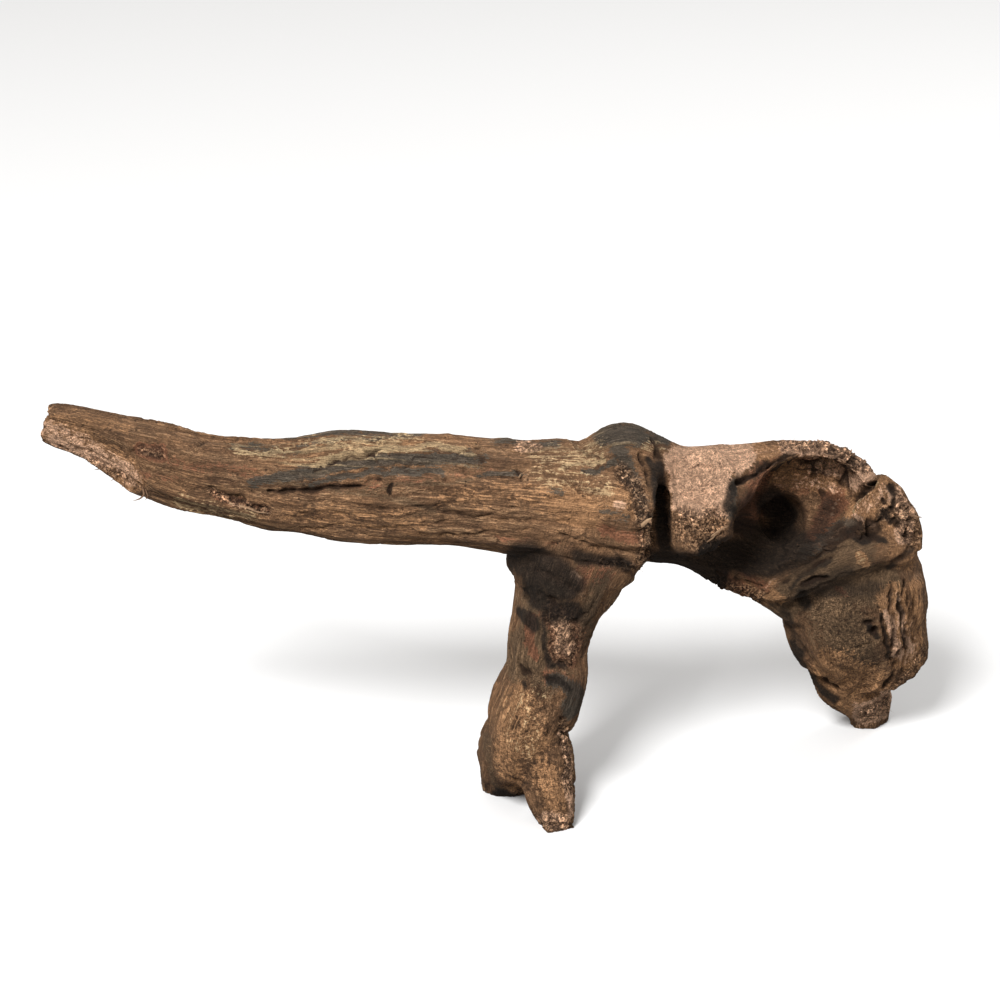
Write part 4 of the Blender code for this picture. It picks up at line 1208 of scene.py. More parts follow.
class Shards:
    """Broken lumps: space divided among random seeds, one in each unit cube."""

    def __init__(self, seed: int, cells: int = 16) -> None:
        """Draws the seeds' places in their cubes and the lumps' heights, which wrap after cells cubes."""
        rng = np.random.default_rng(seed)
        self.cells = cells
        self.places = rng.uniform(0.1, 0.9, (cells, cells, cells, 3))
        self.lumps = rng.uniform(-1, 1, (cells,) * 3)

    def __call__(self, points: Array) -> tuple[Array, Array]:
        """The nearest seed's lump, and how much farther the second nearest seed is than the nearest.

        Args:
            points: Points in cubes.
        Returns:
            Heights from -1 to 1, and gaps that are 0 on the crack between two lumps.
        """
        cell = np.floor(points).astype(int)
        nearest = np.full(len(points), np.inf)
        second = np.full(len(points), np.inf)
        lump = np.zeros(len(points))
        for step in np.ndindex(3, 3, 3):
            corner = cell + step - 1
            key = tuple((corner % self.cells).T)
            distance = np.linalg.norm(points - corner - self.places[key], axis=1)
            nearer = distance < nearest
            second = np.where(nearer, nearest, np.minimum(second, distance))
            lump = np.where(nearer, self.lumps[key], lump)
            nearest = np.minimum(nearest, distance)
        return lump, second - nearest


# Size of the noise that drawn lines waver by, how far it shifts patches, and over which facing a side comes in view.
WAVER_CELL = 6.5
PATCH_WAVER = 2.4
SEEN = (-0.15, 0.12)


def wavered(points: Array, spots: Array, reach: float) -> Array:
    """Spots shifted by noise at the points that they show, so that lines drawn on them waver like worn wood."""
    shifts = [Noise(Seed.WAVER + axis).fractal(points / WAVER_CELL, 3) for axis in range(2)]
    return spots + reach * np.column_stack(shifts)


def paint(points: Array, normals: Array, sight: SightPlane, tones: tuple[Tone, ...]) -> dict[Tone, Array]:
    """Masks of tones: patches on the side that faces the eye, and on the hidden sides natural spread, or painted shade
    on what faces down for the shade tone.

    Args:
        points: Points in millimetres.
        normals: Their normals.
        sight: The plane that patches are drawn on.
        tones: Which tones.
    Returns:
        One mask for each tone, from 0 to 1.
    """
    spots, to_eye, _ = sight.spots(points)
    spots = wavered(points, spots, PATCH_WAVER)
    facing = (normals * to_eye).sum(axis=1)
    seen = ease(facing, *SEEN)
    masks = {}
    for tone in tones:
        mask = np.zeros(len(points))
        for patch in PATCHES.get(tone, ()):
            away, _ = distance_to_line(spots, patch.points)
            mask = np.maximum(mask, patch.strength * np.clip(1.5 - away / patch.width, 0, 1))
        masks[tone] = mask * seen + hidden_tone(tone, points, normals) * (1 - seen)
    return masks


@dataclass(frozen=True)
class Spread:
    """How a tone lies on the sides that the picture doesn't show: noise of one size over a threshold."""

    size: float
    low: float
    high: float
    strength: float
    seed: int


SPREADS: dict[Tone, Spread] = {
    Tone.TAN: Spread(38, 0.0, 0.5, 0.6, 301),
    Tone.OCHRE: Spread(24, 0.25, 0.7, 0.42, 302),
    Tone.OLIVE: Spread(45, -0.1, 0.5, 0.6, 303),
    Tone.DARK: Spread(30, 0.15, 0.7, 0.6, 304),
    Tone.RED: Spread(34, 0.2, 0.6, 0.5, 305),
    Tone.LAYER: Spread(42, 0.1, 0.5, 0.9, 304),
    Tone.TORN: Spread(22, 0.55, 0.75, 0.8, 307),
    Tone.PALE: Spread(22, 0.58, 0.8, 0.5, 307),
}


# How strong the shade under the root is, and over which downward part of the normal it comes in.
UNDERSIDE_SHADE = 0.45
FACING_DOWN = (0.3, 0.95)


def hidden_tone(tone: Tone, points: Array, normals: Array) -> Array:
    """A tone's mask from noise alone, where shade darkens what faces down.

    Args:
        tone: The tone.
        points: Points in millimetres.
        normals: Their normals.
    Returns:
        The mask.
    """
    if tone is Tone.SHADE:
        return UNDERSIDE_SHADE * ease(-normals[:, 2], *FACING_DOWN)
    spread = SPREADS.get(tone)
    if spread is None:
        return np.zeros(len(points))
    value = Noise(spread.seed).fractal(points / spread.size, 3)
    return spread.strength * ease(value, spread.low, spread.high)


class Tree:
    """Short ways to add and join the nodes of one tree."""

    def __init__(self, tree: bpy.types.NodeTree) -> None:
        """Keeps the tree that nodes are added to."""
        self.tree = tree

    def add(self, kind: str, inputs: dict | None = None, **settings) -> bpy.types.Node:
        """A node of a kind, with its settings, and its inputs fed by name or number.

        Args:
            kind: The node's type.
            inputs: Values or sockets by input name or number.
            settings: Attributes of the node.
        Returns:
            The node.
        """
        node = self.tree.nodes.new(kind)
        for name, value in settings.items():
            setattr(node, name, value)
        for key, value in (inputs or {}).items():
            self.feed(node.inputs[key], value)
        return node

    def feed(self, socket: Socket, value: Socket | float | tuple) -> None:
        """Joins a socket to an input, or sets the input's own value."""
        if isinstance(value, bpy.types.NodeSocket):
            self.tree.links.new(value, socket)
        else:
            socket.default_value = value

    def math(self, operation: str, *values: Socket | float) -> Socket:
        """A Math node's result."""
        return self.add("ShaderNodeMath", dict(enumerate(values)), operation=operation).outputs[0]

    def total(self, *terms: tuple[float, Socket]) -> Socket:
        """The sum of values, each times its share."""
        parts = [self.math("MULTIPLY", value, share) for share, value in terms]
        return reduce(lambda made, part: self.math("ADD", made, part), parts)

    def vector(self, operation: str, first: Socket, second: Socket | Point) -> Socket:
        """A Vector Math node's result."""
        return self.add("ShaderNodeVectorMath", {0: first, 1: second}, operation=operation).outputs[0]

    def noise(
        self, vector: Socket, scale: float, detail: float, roughness: float = 0.55, distortion: float = 0.0
    ) -> Socket:
        """A Noise Texture's value at a vector, near 0.5 on the whole."""
        sizes = {"Scale": scale, "Detail": detail, "Roughness": roughness, "Distortion": distortion}
        return self.add("ShaderNodeTexNoise", {"Vector": vector, **sizes}).outputs["Fac"]

    def step(self, value: Socket, low: float, high: float) -> Socket:
        """0 below low, 1 above high and a smooth step between them."""
        inputs = {"Value": value, "From Min": low, "From Max": high, "To Min": 0.0, "To Max": 1.0}
        return self.add("ShaderNodeMapRange", inputs, interpolation_type="SMOOTHSTEP").outputs["Result"]

    def mix(self, factor: Socket | float, first: Socket | Colour, second: Socket | Colour, how: str = "MIX") -> Socket:
        """Two colours mixed."""
        sides = [(*side, 1) if isinstance(side, tuple) else side for side in (first, second)]
        inputs = dict(zip((0, 6, 7), (factor, *sides)))
        return self.add("ShaderNodeMix", inputs, data_type="RGBA", blend_type=how).outputs[2]

    def blend(self, factor: Socket | float, first: Socket | float, second: Socket | float) -> Socket:
        """Two values mixed."""
        return self.add("ShaderNodeMix", {0: factor, 2: first, 3: second}, data_type="FLOAT").outputs[0]

    def grey(self, value: Socket) -> Socket:
        """A grey colour of this value."""
        return self.add("ShaderNodeCombineXYZ", dict.fromkeys(range(3), value)).outputs[0]

    def attribute(self, name: str, vector: bool = False) -> Socket:
        """A mesh attribute, as a value or a vector."""
        node = self.add("ShaderNodeAttribute", attribute_name=name)
        return node.outputs["Vector" if vector else "Fac"]

    def millimetres(self) -> Socket:
        """The object's own coordinates, in millimetres."""
        place = self.add("ShaderNodeTexCoord").outputs["Object"]
        return self.vector("MULTIPLY", place, (1 / MM,) * 3)

    def group(self, group: bpy.types.NodeTree, inputs: dict[str, Socket | float]) -> bpy.types.NodeOutputs:
        """The outputs of a placed node group."""
        return self.add("ShaderNodeGroup", inputs, node_tree=group).outputs

    def bump(self, strength: float, distance: float, height: Socket) -> Socket:
        """Normals bent by a height, which stands for this distance in metres."""
        return self.add("ShaderNodeBump", {"Strength": strength, "Distance": distance, "Height": height}).outputs[0]


def new_group(
    name: str, inputs: dict[str, str], outputs: dict[str, str]
) -> tuple[Tree, bpy.types.Node, bpy.types.Node]:
    """An empty node group with named sockets.

    Args:
        name: The group's name.
        inputs: Socket types by name.
        outputs: Socket types by name.
    Returns:
        The group's tree, its input node and its output node.
    """
    group = bpy.data.node_groups.new(name, "ShaderNodeTree")
    for direction, sockets in (("INPUT", inputs), ("OUTPUT", outputs)):
        for socket, kind in sockets.items():
            group.interface.new_socket(name=socket, in_out=direction, socket_type=kind)
    tree = Tree(group)
    return tree, tree.add("NodeGroupInput"), tree.add("NodeGroupOutput")


VALUE, VECTOR = "NodeSocketFloat", "NodeSocketVector"


@dataclass(frozen=True)
class Figure:
    """One noise of a pattern, stretched by a smooth step to run from 0 to 1.

    Attributes:
        name: The output that carries it.
        scale: Waves in a millimetre.
        low: The noise that becomes 0.
        high: The noise that becomes 1.
        stretch: What each coordinate is multiplied by first, or nothing.
    """

    name: str
    scale: float
    detail: float
    roughness: float
    distortion: float
    low: float
    high: float
    stretch: Point | None = None

    def put(self, tree: Tree, place: Socket, made: bpy.types.Node) -> None:
        """Adds the noise at a place and feeds it to the output of its name."""
        if self.stretch:
            place = tree.vector("MULTIPLY", place, self.stretch)
        noise = tree.noise(place, self.scale, self.detail, self.roughness, self.distortion)
        tree.feed(made.inputs[self.name], tree.step(noise, self.low, self.high))


GRAIN_FIGURES: tuple[Figure, ...] = (
    Figure("Streak", 1.0, 5.0, 0.65, 0.0, 0.32, 0.68, (0.017, 0.34, 0.34)),
    Figure("Line", 1.0, 3.0, 0.65, 0.0, 0.32, 0.68, (0.05, 1.15, 1.15)),
    Figure("Fibre", 1.0, 2.0, 0.65, 0.4, 0.32, 0.68, (0.16, 2.5, 2.5)),
    Figure("Pore", 1.0, 1.0, 0.55, 0.0, 0.68, 0.8, (0.2, 1.7, 1.7)),
)

MOTTLE_FIGURES: tuple[Figure, ...] = (
    Figure("Blotch", 0.075, 4.0, 0.6, 0.0, 0.34, 0.66),
    Figure("Speck", 0.6, 3.0, 0.65, 0.5, 0.33, 0.67),
    Figure("Grit", 1.5, 2.0, 0.7, 0.0, 0.33, 0.67),
    Figure("Crumb", 0.42, 4.0, 0.68, 1.3, 0.4, 0.6),
)


def grain_group() -> bpy.types.NodeTree:
    """Grain that runs along the first coordinate: broad streaks, lines, hair-fine fibres and pores, from 0 to 1.

    Before the figures are read, a slow noise shifts the places across the grain by up to 4.5 mm either way.
    """
    outputs = {figure.name: VALUE for figure in GRAIN_FIGURES}
    tree, given, made = new_group("grain", {"Place": VECTOR}, outputs)
    place = given.outputs["Place"]
    bend = tree.noise(tree.vector("MULTIPLY", place, (0.035, 0.1, 0.1)), 1.0, 2.0)
    bend = tree.math("MULTIPLY", tree.math("SUBTRACT", bend, 0.5), 9.0)
    sway = tree.add("ShaderNodeCombineXYZ", {"Y": bend, "Z": bend}).outputs[0]
    place = tree.vector("ADD", place, sway)
    for figure in GRAIN_FIGURES:
        figure.put(tree, place, made)
    return tree.tree


def mottle_group() -> bpy.types.NodeTree:
    """Unevenness without direction: blotches, specks, grit, pin holes, crumbs and veins, from 0 to 1.

    A hole is the middle of a random cell, and a vein is where a bent noise crosses its middle value.
    """
    outputs = {name: VALUE for name in (*(figure.name for figure in MOTTLE_FIGURES), "Hole", "Vein")}
    tree, given, made = new_group("mottle", {"Place": VECTOR}, outputs)
    place = given.outputs["Place"]
    for figure in MOTTLE_FIGURES:
        figure.put(tree, place, made)
    cells = tree.add("ShaderNodeTexVoronoi", {"Vector": place, "Scale": 0.17, "Randomness": 1.0})
    tree.feed(made.inputs["Hole"], tree.step(cells.outputs["Distance"], 0.12, 0.06))
    middle = tree.math("SUBTRACT", tree.noise(place, 0.14, 4.0, 0.55, 1.4), 0.5)
    tree.feed(made.inputs["Vein"], tree.step(tree.math("ABSOLUTE", middle), 0.022, 0.0))
    return tree.tree


def ragged_group() -> bpy.types.NodeTree:
    """A soft mask whose fading edge is broken up by noise: step of mask + reach (noise - 0.5)."""
    tree, given, made = new_group("ragged edge", {"Mask": VALUE, "Noise": VALUE, "Reach": VALUE}, {"Mask": VALUE})
    shift = tree.math("MULTIPLY", tree.math("SUBTRACT", given.outputs["Noise"], 0.5), given.outputs["Reach"])
    value = tree.math("ADD", given.outputs["Mask"], shift)
    some = tree.step(given.outputs["Mask"], 0.0, 0.12)
    tree.feed(made.inputs["Mask"], tree.math("MULTIPLY", tree.step(value, 0.34, 0.6), some))
    return tree.tree


@dataclass(frozen=True)
class Effects:
    """The node groups that the finishes share."""

    grain: bpy.types.NodeTree
    mottle: bpy.types.NodeTree
    ragged: bpy.types.NodeTree

    @classmethod
    def build(cls) -> Effects:
        """Builds each group once."""
        return cls(grain_group(), mottle_group(), ragged_group())


def new_material(name: str, specular: float) -> tuple[bpy.types.Material, Tree, bpy.types.NodeInputs]:
    """A new material with its tree and its surface's inputs."""
    material = bpy.data.materials.new(name)
    material.use_nodes = True
    surface = material.node_tree.nodes["Principled BSDF"].inputs
    surface["Specular IOR Level"].default_value = specular
    return material, Tree(material.node_tree), surface


@dataclass(frozen=True)
class Wash:
    """A tone's colour, how far noise breaks its edge, and how much of the wood it hides."""

    colour: Colour
    reach: float
    strength: float


# In the order in which they are laid on.
WASHES: dict[Tone, Wash] = {
    Tone.OLIVE: Wash((0.135, 0.086, 0.048), 0.9, 0.78),
    Tone.TAN: Wash((0.40, 0.21, 0.10), 0.9, 0.72),
    Tone.RED: Wash((0.21, 0.085, 0.045), 0.9, 0.8),
    Tone.DARK: Wash((0.072, 0.060, 0.046), 1.35, 0.9),
    Tone.OCHRE: Wash((0.46, 0.325, 0.18), 1.6, 0.72),
    Tone.PALE: Wash((0.60, 0.365, 0.235), 0.6, 0.92),
}


# How much of its grain smooth wood loses to mottling: of its lines, and of its streaks and fibres.
CALM = 0.92
HALF_CALM = 0.65


class WoodGrain(NamedTuple):
    """The sockets that the wood's colour and bumps are mixed from."""

    streak: Socket
    line: Socket
    fibre: Socket
    pore: Socket
    mottle: bpy.types.NodeOutputs
    torn: Socket
    smooth: Socket

    @classmethod
    def read(cls, tree: Tree, effects: Effects) -> WoodGrain:
        """Grain in the two nearest limbs' coordinates, mixed by their shares, and mottled where wood is smooth.

        Args:
            tree: The finish's tree.
            effects: The shared node groups.
        Returns:
            The sockets.
        """
        mottle = tree.group(effects.mottle, {"Place": tree.millimetres()})
        first, second = (
            tree.group(effects.grain, {"Place": tree.attribute(name, vector=True)}) for name in ("grain", "grain_next")
        )
        share = tree.attribute("grain_share")
        streak, line, fibre, pore = (
            tree.blend(share, second[name], first[name]) for name in ("Streak", "Line", "Fibre", "Pore")
        )
        smooth = tree.attribute(Tone.SMOOTH.value)
        calm, half_calm = tree.math("MULTIPLY", smooth, CALM), tree.math("MULTIPLY", smooth, HALF_CALM)
        uneven = tree.blend(0.5, mottle["Blotch"], mottle["Speck"])
        return cls(
            tree.blend(half_calm, streak, mottle["Blotch"]),
            tree.blend(calm, line, uneven),
            tree.blend(half_calm, fibre, mottle["Grit"]),
            pore,
            mottle,
            tree.attribute(Tone.TORN.value),
            smooth,
        )


@dataclass(frozen=True)
class WoodFinish:
    """Dry weathered wood: brown grain under patches of weather and of painted shade, with dust-dry gloss.

    Attributes:
        name: The material's name.
        sunk: The painted shade of cracks, pores and pin holes, and shade the painted shade of hollows that see no
            light.
        contrast: How many times lighter the lightest detail is than the darkest, where wood is neither torn nor smooth.
        relief: How high the bumps of the grain stand, in metres.
    """

    name: str = "weathered wood"
    dark_grain: Colour = (0.105, 0.055, 0.029)
    brown: Colour = (0.225, 0.125, 0.066)
    light_grain: Colour = (0.38, 0.235, 0.13)
    # Painted shade: shade for hollows and undersides, sunk for cracks, pores and pin holes.
    shade: Colour = (0.020, 0.014, 0.010)
    sunk: Colour = (0.040, 0.021, 0.012)
    # Crumbs: painted shade in the pits between them, and pale torn wood on their tops.
    crumb_pit_shade: Colour = (0.060, 0.026, 0.014)
    crumb_top: Colour = (0.60, 0.355, 0.205)
    bright_share: float = 0.42
    tan_share: float = 0.3
    edge_wood_and_highlight_share: float = 0.5
    crumb_share: float = 0.52
    shade_share: float = 0.94
    crack_shade_share: float = 0.88
    pore_share: float = 0.5
    hole_share: float = 0.75
    vein_share: float = 0.8
    contrast: float = 8.0
    middle_detail: float = 0.47
    roughness: float = 0.79
    dusty: float = 0.14
    relief: float = 0.0013
    crumb_height: float = 0.9
    streak_height: float = 0.18
    spot_depth: float = 0.6
    specular: float = 0.2

    def washed(self, tree: Tree, effects: Effects, wood: WoodGrain) -> Socket:
        """The wood's colours: brown streaks and light grain, the washes, bark edges with painted highlight, crumbs with
        painted shade in their pits, and painted shade.

        Args:
            tree: The finish's tree.
            effects: The shared node groups.
            wood: The grain.
        Returns:
            The colour.
        """
        broken = tree.blend(0.3, tree.blend(0.55, wood.streak, wood.line), wood.mottle["Speck"])
        colour = tree.mix(wood.streak, self.dark_grain, self.brown)
        bright = tree.step(tree.math("ADD", wood.streak, wood.line), 1.0, 1.9)
        colour = tree.mix(tree.math("MULTIPLY", bright, self.bright_share), colour, self.light_grain)
        tanned = tree.math("MULTIPLY", wood.mottle["Blotch"], self.tan_share)
        colour = tree.mix(tanned, colour, WASHES[Tone.TAN].colour)
        for tone, wash in WASHES.items():
            inputs = {"Mask": tree.attribute(tone.value), "Noise": broken, "Reach": wash.reach}
            mask = tree.group(effects.ragged, inputs)["Mask"]
            colour = tree.mix(tree.math("MULTIPLY", mask, wash.strength), colour, wash.colour)
        # Ochre on each bark layer's broken edge: partly the paler wood it lays bare, partly painted highlight.
        edge = tree.math("MULTIPLY", tree.step(tree.attribute("edge"), 0.15, 0.8), self.edge_wood_and_highlight_share)
        colour = tree.mix(edge, colour, WASHES[Tone.OCHRE].colour)

        # The crumb noise that the bump raises also colours torn wood: painted shade in the pits, pale wood on the tops.
        crumbs = tree.mix(wood.mottle["Crumb"], self.crumb_pit_shade, self.crumb_top)
        colour = tree.mix(tree.math("MULTIPLY", tree.step(wood.torn, 0.15, 0.75), self.crumb_share), colour, crumbs)
        mask = tree.attribute(Tone.SHADE.value)
        shade = tree.math("ADD", mask, tree.math("MULTIPLY", broken, 0.45))
        shade = tree.math("MULTIPLY", shade, tree.step(mask, 0.0, 0.25))
        shade = tree.math("MULTIPLY", tree.step(shade, 0.35, 1.1), self.shade_share)
        return tree.mix(shade, colour, self.shade)

    def detail(self, tree: Tree, wood: WoodGrain) -> Socket:
        """Light and dark of the grain, from 0 to 1: lines and fibres, or crumbs where wood is torn, and specks."""
        mottle = wood.mottle
        return tree.total(
            # Where wood is torn the crumbs' pits come out darker than their tops: painted shade on the bump.
            (0.36, tree.blend(wood.torn, wood.line, mottle["Crumb"])),
            (0.3, tree.blend(wood.torn, wood.fibre, mottle["Speck"])),
            (0.16, mottle["Speck"]),
            (0.18, mottle["Grit"]),
        )

    def spots(self, tree: Tree, wood: WoodGrain) -> Socket:
        """Pores, pin holes and the veins of smooth wood."""
        pores = tree.math("MULTIPLY", wood.pore, self.pore_share)
        holes = tree.math("MULTIPLY", wood.mottle["Hole"], self.hole_share)
        veins = tree.math("MULTIPLY", wood.mottle["Vein"], tree.math("MULTIPLY", wood.smooth, self.vein_share))
        return tree.math("MAXIMUM", tree.math("MAXIMUM", pores, holes), veins)

    def build(self, effects: Effects) -> bpy.types.Material:
        """The material.

        The colour is multiplied by contrast^(spread (detail - middle)), where torn and smooth wood spreads it by
        up to half as much again, and then takes the sunk colour, painted shade, in cracks and spots.

        Args:
            effects: The shared node groups.
        Returns:
            The material, which reads the skin's attributes.
        """
        material, tree, surface = new_material(self.name, self.specular)
        wood = WoodGrain.read(tree, effects)
        detail, spots = self.detail(tree, wood), self.spots(tree, wood)

        spread = tree.math("ADD", 1.0, tree.math("MULTIPLY", tree.math("MAXIMUM", wood.torn, wood.smooth), 0.5))
        power = tree.math("MULTIPLY", tree.math("SUBTRACT", detail, self.middle_detail), spread)
        light = tree.math("POWER", self.contrast, power)
        colour = tree.mix(1.0, self.washed(tree, effects, wood), tree.grey(light), "MULTIPLY")
        # Painted shade: cracks and the other sunk places, and pores and pin holes, take the dark sunk colour; so do the
        # veins.
        cracks = tree.math("MULTIPLY", tree.step(tree.attribute("sunk"), 0.2, 1.7), self.crack_shade_share)
        colour = tree.mix(spots, tree.mix(cracks, colour, self.sunk), self.sunk)
        tree.feed(surface["Base Color"], colour)

        dust = tree.math("MULTIPLY", wood.mottle["Speck"], self.dusty)
        tree.feed(surface["Roughness"], tree.math("ADD", self.roughness, dust))

        crumbs = tree.math("MULTIPLY", wood.torn, wood.mottle["Crumb"])
        height = tree.math("ADD", detail, tree.total((self.crumb_height, crumbs), (self.streak_height, wood.streak)))
        height = tree.math("SUBTRACT", height, tree.math("MULTIPLY", spots, self.spot_depth))
        tree.feed(surface["Normal"], tree.bump(1.0, self.relief, height))
        return material


@dataclass(frozen=True)
class FibreFinish:
    """Torn fibres: each strand has its own tone between brown and pale, darker where it leaves the wood."""

    name: str = "torn fibre"
    brown: Colour = (0.10, 0.05, 0.027)
    pale: Colour = (0.52, 0.34, 0.20)
    speck_share: float = 0.3
    line_share: float = 0.4
    roughness: float = 0.75
    line_roughness: float = 0.1
    relief: float = 0.0003
    specular: float = 0.25

    def build(self, effects: Effects) -> bpy.types.Material:
        """The material.

        Args:
            effects: The shared node groups.
        Returns:
            The material, which reads the strands' tone.
        """
        material, tree, surface = new_material(self.name, self.specular)
        mottle = tree.group(effects.mottle, {"Place": tree.millimetres()})
        line = tree.group(effects.grain, {"Place": tree.attribute("grain", vector=True)})["Line"]
        tone = tree.blend(self.speck_share, tree.attribute("tone"), mottle["Speck"])
        colour = tree.mix(tone, self.brown, self.pale)
        colour = tree.mix(tree.math("MULTIPLY", line, self.line_share), colour, self.brown)
        tree.feed(surface["Base Color"], colour)
        rough = tree.math("ADD", self.roughness, tree.math("MULTIPLY", line, self.line_roughness))
        tree.feed(surface["Roughness"], rough)
        tree.feed(surface["Normal"], tree.bump(0.5, self.relief, line))
        return material


@dataclass(frozen=True)
class FloorFinish:
    """A pale matt floor that throws little light back up, so that undersides stay as dark as in the picture."""

    name: str = "pale floor"
    seen: float = 0.86
    thrown: float = 0.22
    roughness: float = 0.9
    specular: float = 0.1

    def build(self) -> bpy.types.Material:
        """The material: pale to the camera, and darker to the rays that would light the root from below."""
        material, tree, surface = new_material(self.name, self.specular)
        surface["Roughness"].default_value = self.roughness
        camera = tree.add("ShaderNodeLightPath").outputs["Is Camera Ray"]
        tree.feed(surface["Base Color"], tree.grey(tree.blend(camera, self.thrown, self.seen)))
        return material


def mesh_object(name: str, points: Array, faces: list, material: bpy.types.Material) -> bpy.types.Object:
    """An object at the origin whose mesh holds points in millimetres, shaded smooth.

    Args:
        name: The object's name.
        points: Points in millimetres.
        faces: Lists of corners.
        material: Its finish.
    Returns:
        The object, in the scene's collection.
    """
    mesh = bpy.data.meshes.new(name)
    mesh.from_pydata(points * MM, [], faces)
    mesh.shade_smooth()
    mesh.materials.append(material)
    made = bpy.data.objects.new(name, mesh)
    bpy.context.scene.collection.objects.link(made)
    return made


def put_attribute(mesh: bpy.types.Mesh, name: str, values: Array) -> None:
    """Puts a value or a vector for each point in a mesh attribute."""
    vector = values.ndim == 2
    kind = "FLOAT_VECTOR" if vector else "FLOAT"
    attribute = mesh.attributes.get(name) or mesh.attributes.new(name, kind, "POINT")
    attribute.data.foreach_set("vector" if vector else "value", values.astype(np.float32).ravel())


def skin_points(mesh: bpy.types.Mesh) -> tuple[Array, Array]:
    """A mesh's points in millimetres, and their normals."""
    points = np.empty(3 * len(mesh.vertices))
    normals = np.empty(3 * len(mesh.vertices))
    mesh.vertices.foreach_get("co", points)
    mesh.vertices.foreach_get("normal", normals)
    return points.reshape(-1, 3) / MM, normals.reshape(-1, 3)


def bake_modifiers(obj: bpy.types.Object) -> None:
    """Puts the evaluated shape in the object's own mesh."""
    bpy.context.view_layer.update()
    graph = bpy.context.evaluated_depsgraph_get()
    shaped = bpy.data.meshes.new_from_object(obj.evaluated_get(graph))
    obj.modifiers.clear()
    obj.data = shaped


@dataclass
class Skin:
    """The root's whole surface, grown from the limbs.

    Attributes:
        grown_cell: Cell of the first remesh, as the solid's.
        grown_softening: How often the first skin is smoothed.
        soften_factor: How far a smoothing moves each point towards its neighbours.
        triangles: How many triangles are kept.
    """

    relief: Relief
    sight: SightPlane
    name: str = "driftwood_skin"
    grown_cell: float = 1.7
    grown_softening: int = 8
    fine_cell: float = 0.85
    quick_cell: float = 1.5
    fine_softening: int = 6
    soften_factor: float = 0.5
    triangles: int = 194_000

    def grow(self, material: bpy.types.Material) -> bpy.types.Object:
        """Lofts the limbs, grows them together, cuts the hollows and grows the skin again on the fine cell."""
        skin = self.lofted(self.name, LIMBS, material)
        self.remesh(skin, self.grown_cell, self.grown_softening)
        cutters = [self.lofted(limb.name, (limb,), material) for limb in CUTTERS]
        for cutter in cutters:
            cut = skin.modifiers.new(cutter.name, "BOOLEAN")
            cut.operation = "DIFFERENCE"
            cut.object = cutter
        self.remesh(skin, self.fine_cell, self.fine_softening)
        bake_modifiers(skin)
        for cutter in cutters:
            bpy.data.objects.remove(cutter)
        return skin

    def lofted(self, name: str, limbs: tuple[Limb, ...], material: bpy.types.Material) -> bpy.types.Object:
        """One object of the closed shells of these limbs."""
        points, faces, first = [], [], 0
        for limb in limbs:
            limb_points, limb_faces = limb.shell()
            points.append(limb_points)
            faces += [[first + corner for corner in face] for face in limb_faces]
            first += len(limb_points)
        return mesh_object(name, np.concatenate(points), faces, material)

    def remesh(self, obj: bpy.types.Object, cell: float, softening: int) -> None:
        """Adds the modifiers that grow overlapping shells into one skin and round its creases."""
        grow = obj.modifiers.new("Grow together", "REMESH")
        grow.mode = "VOXEL"
        grow.voxel_size = cell * MM
        soften = obj.modifiers.new("Soften", "SMOOTH")
        soften.factor = self.soften_factor
        soften.iterations = softening

    def weather(self, skin: bpy.types.Object) -> None:
        """Moves each point along its normal by the relief, and keeps what the finish needs of it as attributes."""
        points, normals = skin_points(skin.data)
        tones = paint(points, normals, self.sight, RELIEF_TONES)
        relief = self.relief.heights(points, normals, tones, self.sight)
        skin.data.vertices.foreach_set("co", ((points + relief.height[:, None] * normals) * MM).ravel())
        # The finish paints shade where sunk is high.
        put_attribute(skin.data, "sunk", relief.sunk)
        put_attribute(skin.data, "edge", relief.edge)
        skin.data.update()

    def thin(self, skin: bpy.types.Object) -> None:
        """Keeps the triangles that carry the relief, and cuts the pads flat at floor height."""
        fewer = skin.modifiers.new("Fewer faces", "DECIMATE")
        fewer.ratio = min(1.0, self.triangles / (2 * len(skin.data.polygons)))
        bake_modifiers(skin)
        shape = bmesh.new()
        shape.from_mesh(skin.data)
        parts = [*shape.verts, *shape.edges, *shape.faces]
        cut = bmesh.ops.bisect_plane(shape, geom=parts, plane_co=(0, 0, 0), plane_no=(0, 0, 1), clear_inner=True)
        edges = [part for part in cut["geom_cut"] if isinstance(part, bmesh.types.BMEdge)]
        pads = bmesh.ops.holes_fill(shape, edges=edges)["faces"]
        bmesh.ops.triangulate(shape, faces=pads)
        shape.to_mesh(skin.data)
        shape.free()
        skin.data.shade_smooth()

    def dress(self, skin: bpy.types.Object) -> None:
        """Puts the grain coordinates and the tones in the skin's attributes."""
        points, normals = skin_points(skin.data)
        nearest, following, share = GrainField(LIMBS, points).two_nearest()
        put_attribute(skin.data, "grain", nearest)
        put_attribute(skin.data, "grain_next", following)
        put_attribute(skin.data, "grain_share", share)
        for tone, mask in paint(points, normals, self.sight, COLOUR_TONES).items():
            put_attribute(skin.data, tone.value, mask)

    def build(self, material: bpy.types.Material) -> bpy.types.Object:
        """The finished skin, in the CAD node's place."""
        skin = self.grow(material)
        log.info("skin grown: %d faces", len(skin.data.polygons))
        self.weather(skin)
        self.thin(skin)
        self.dress(skin)
        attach(skin, BODY)
        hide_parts(NODE)
        log.info("%s: %d faces", skin.name, len(skin.data.polygons))
        return skin


def joined(parts: list[Array], one: list[list[int]]) -> tuple[Array, list[list[int]]]:
    """Points and faces of many parts whose faces are alike."""
    faces = [[number * len(parts[0]) + corner for corner in face] for number in range(len(parts)) for face in one]
    return np.concatenate(parts), faces


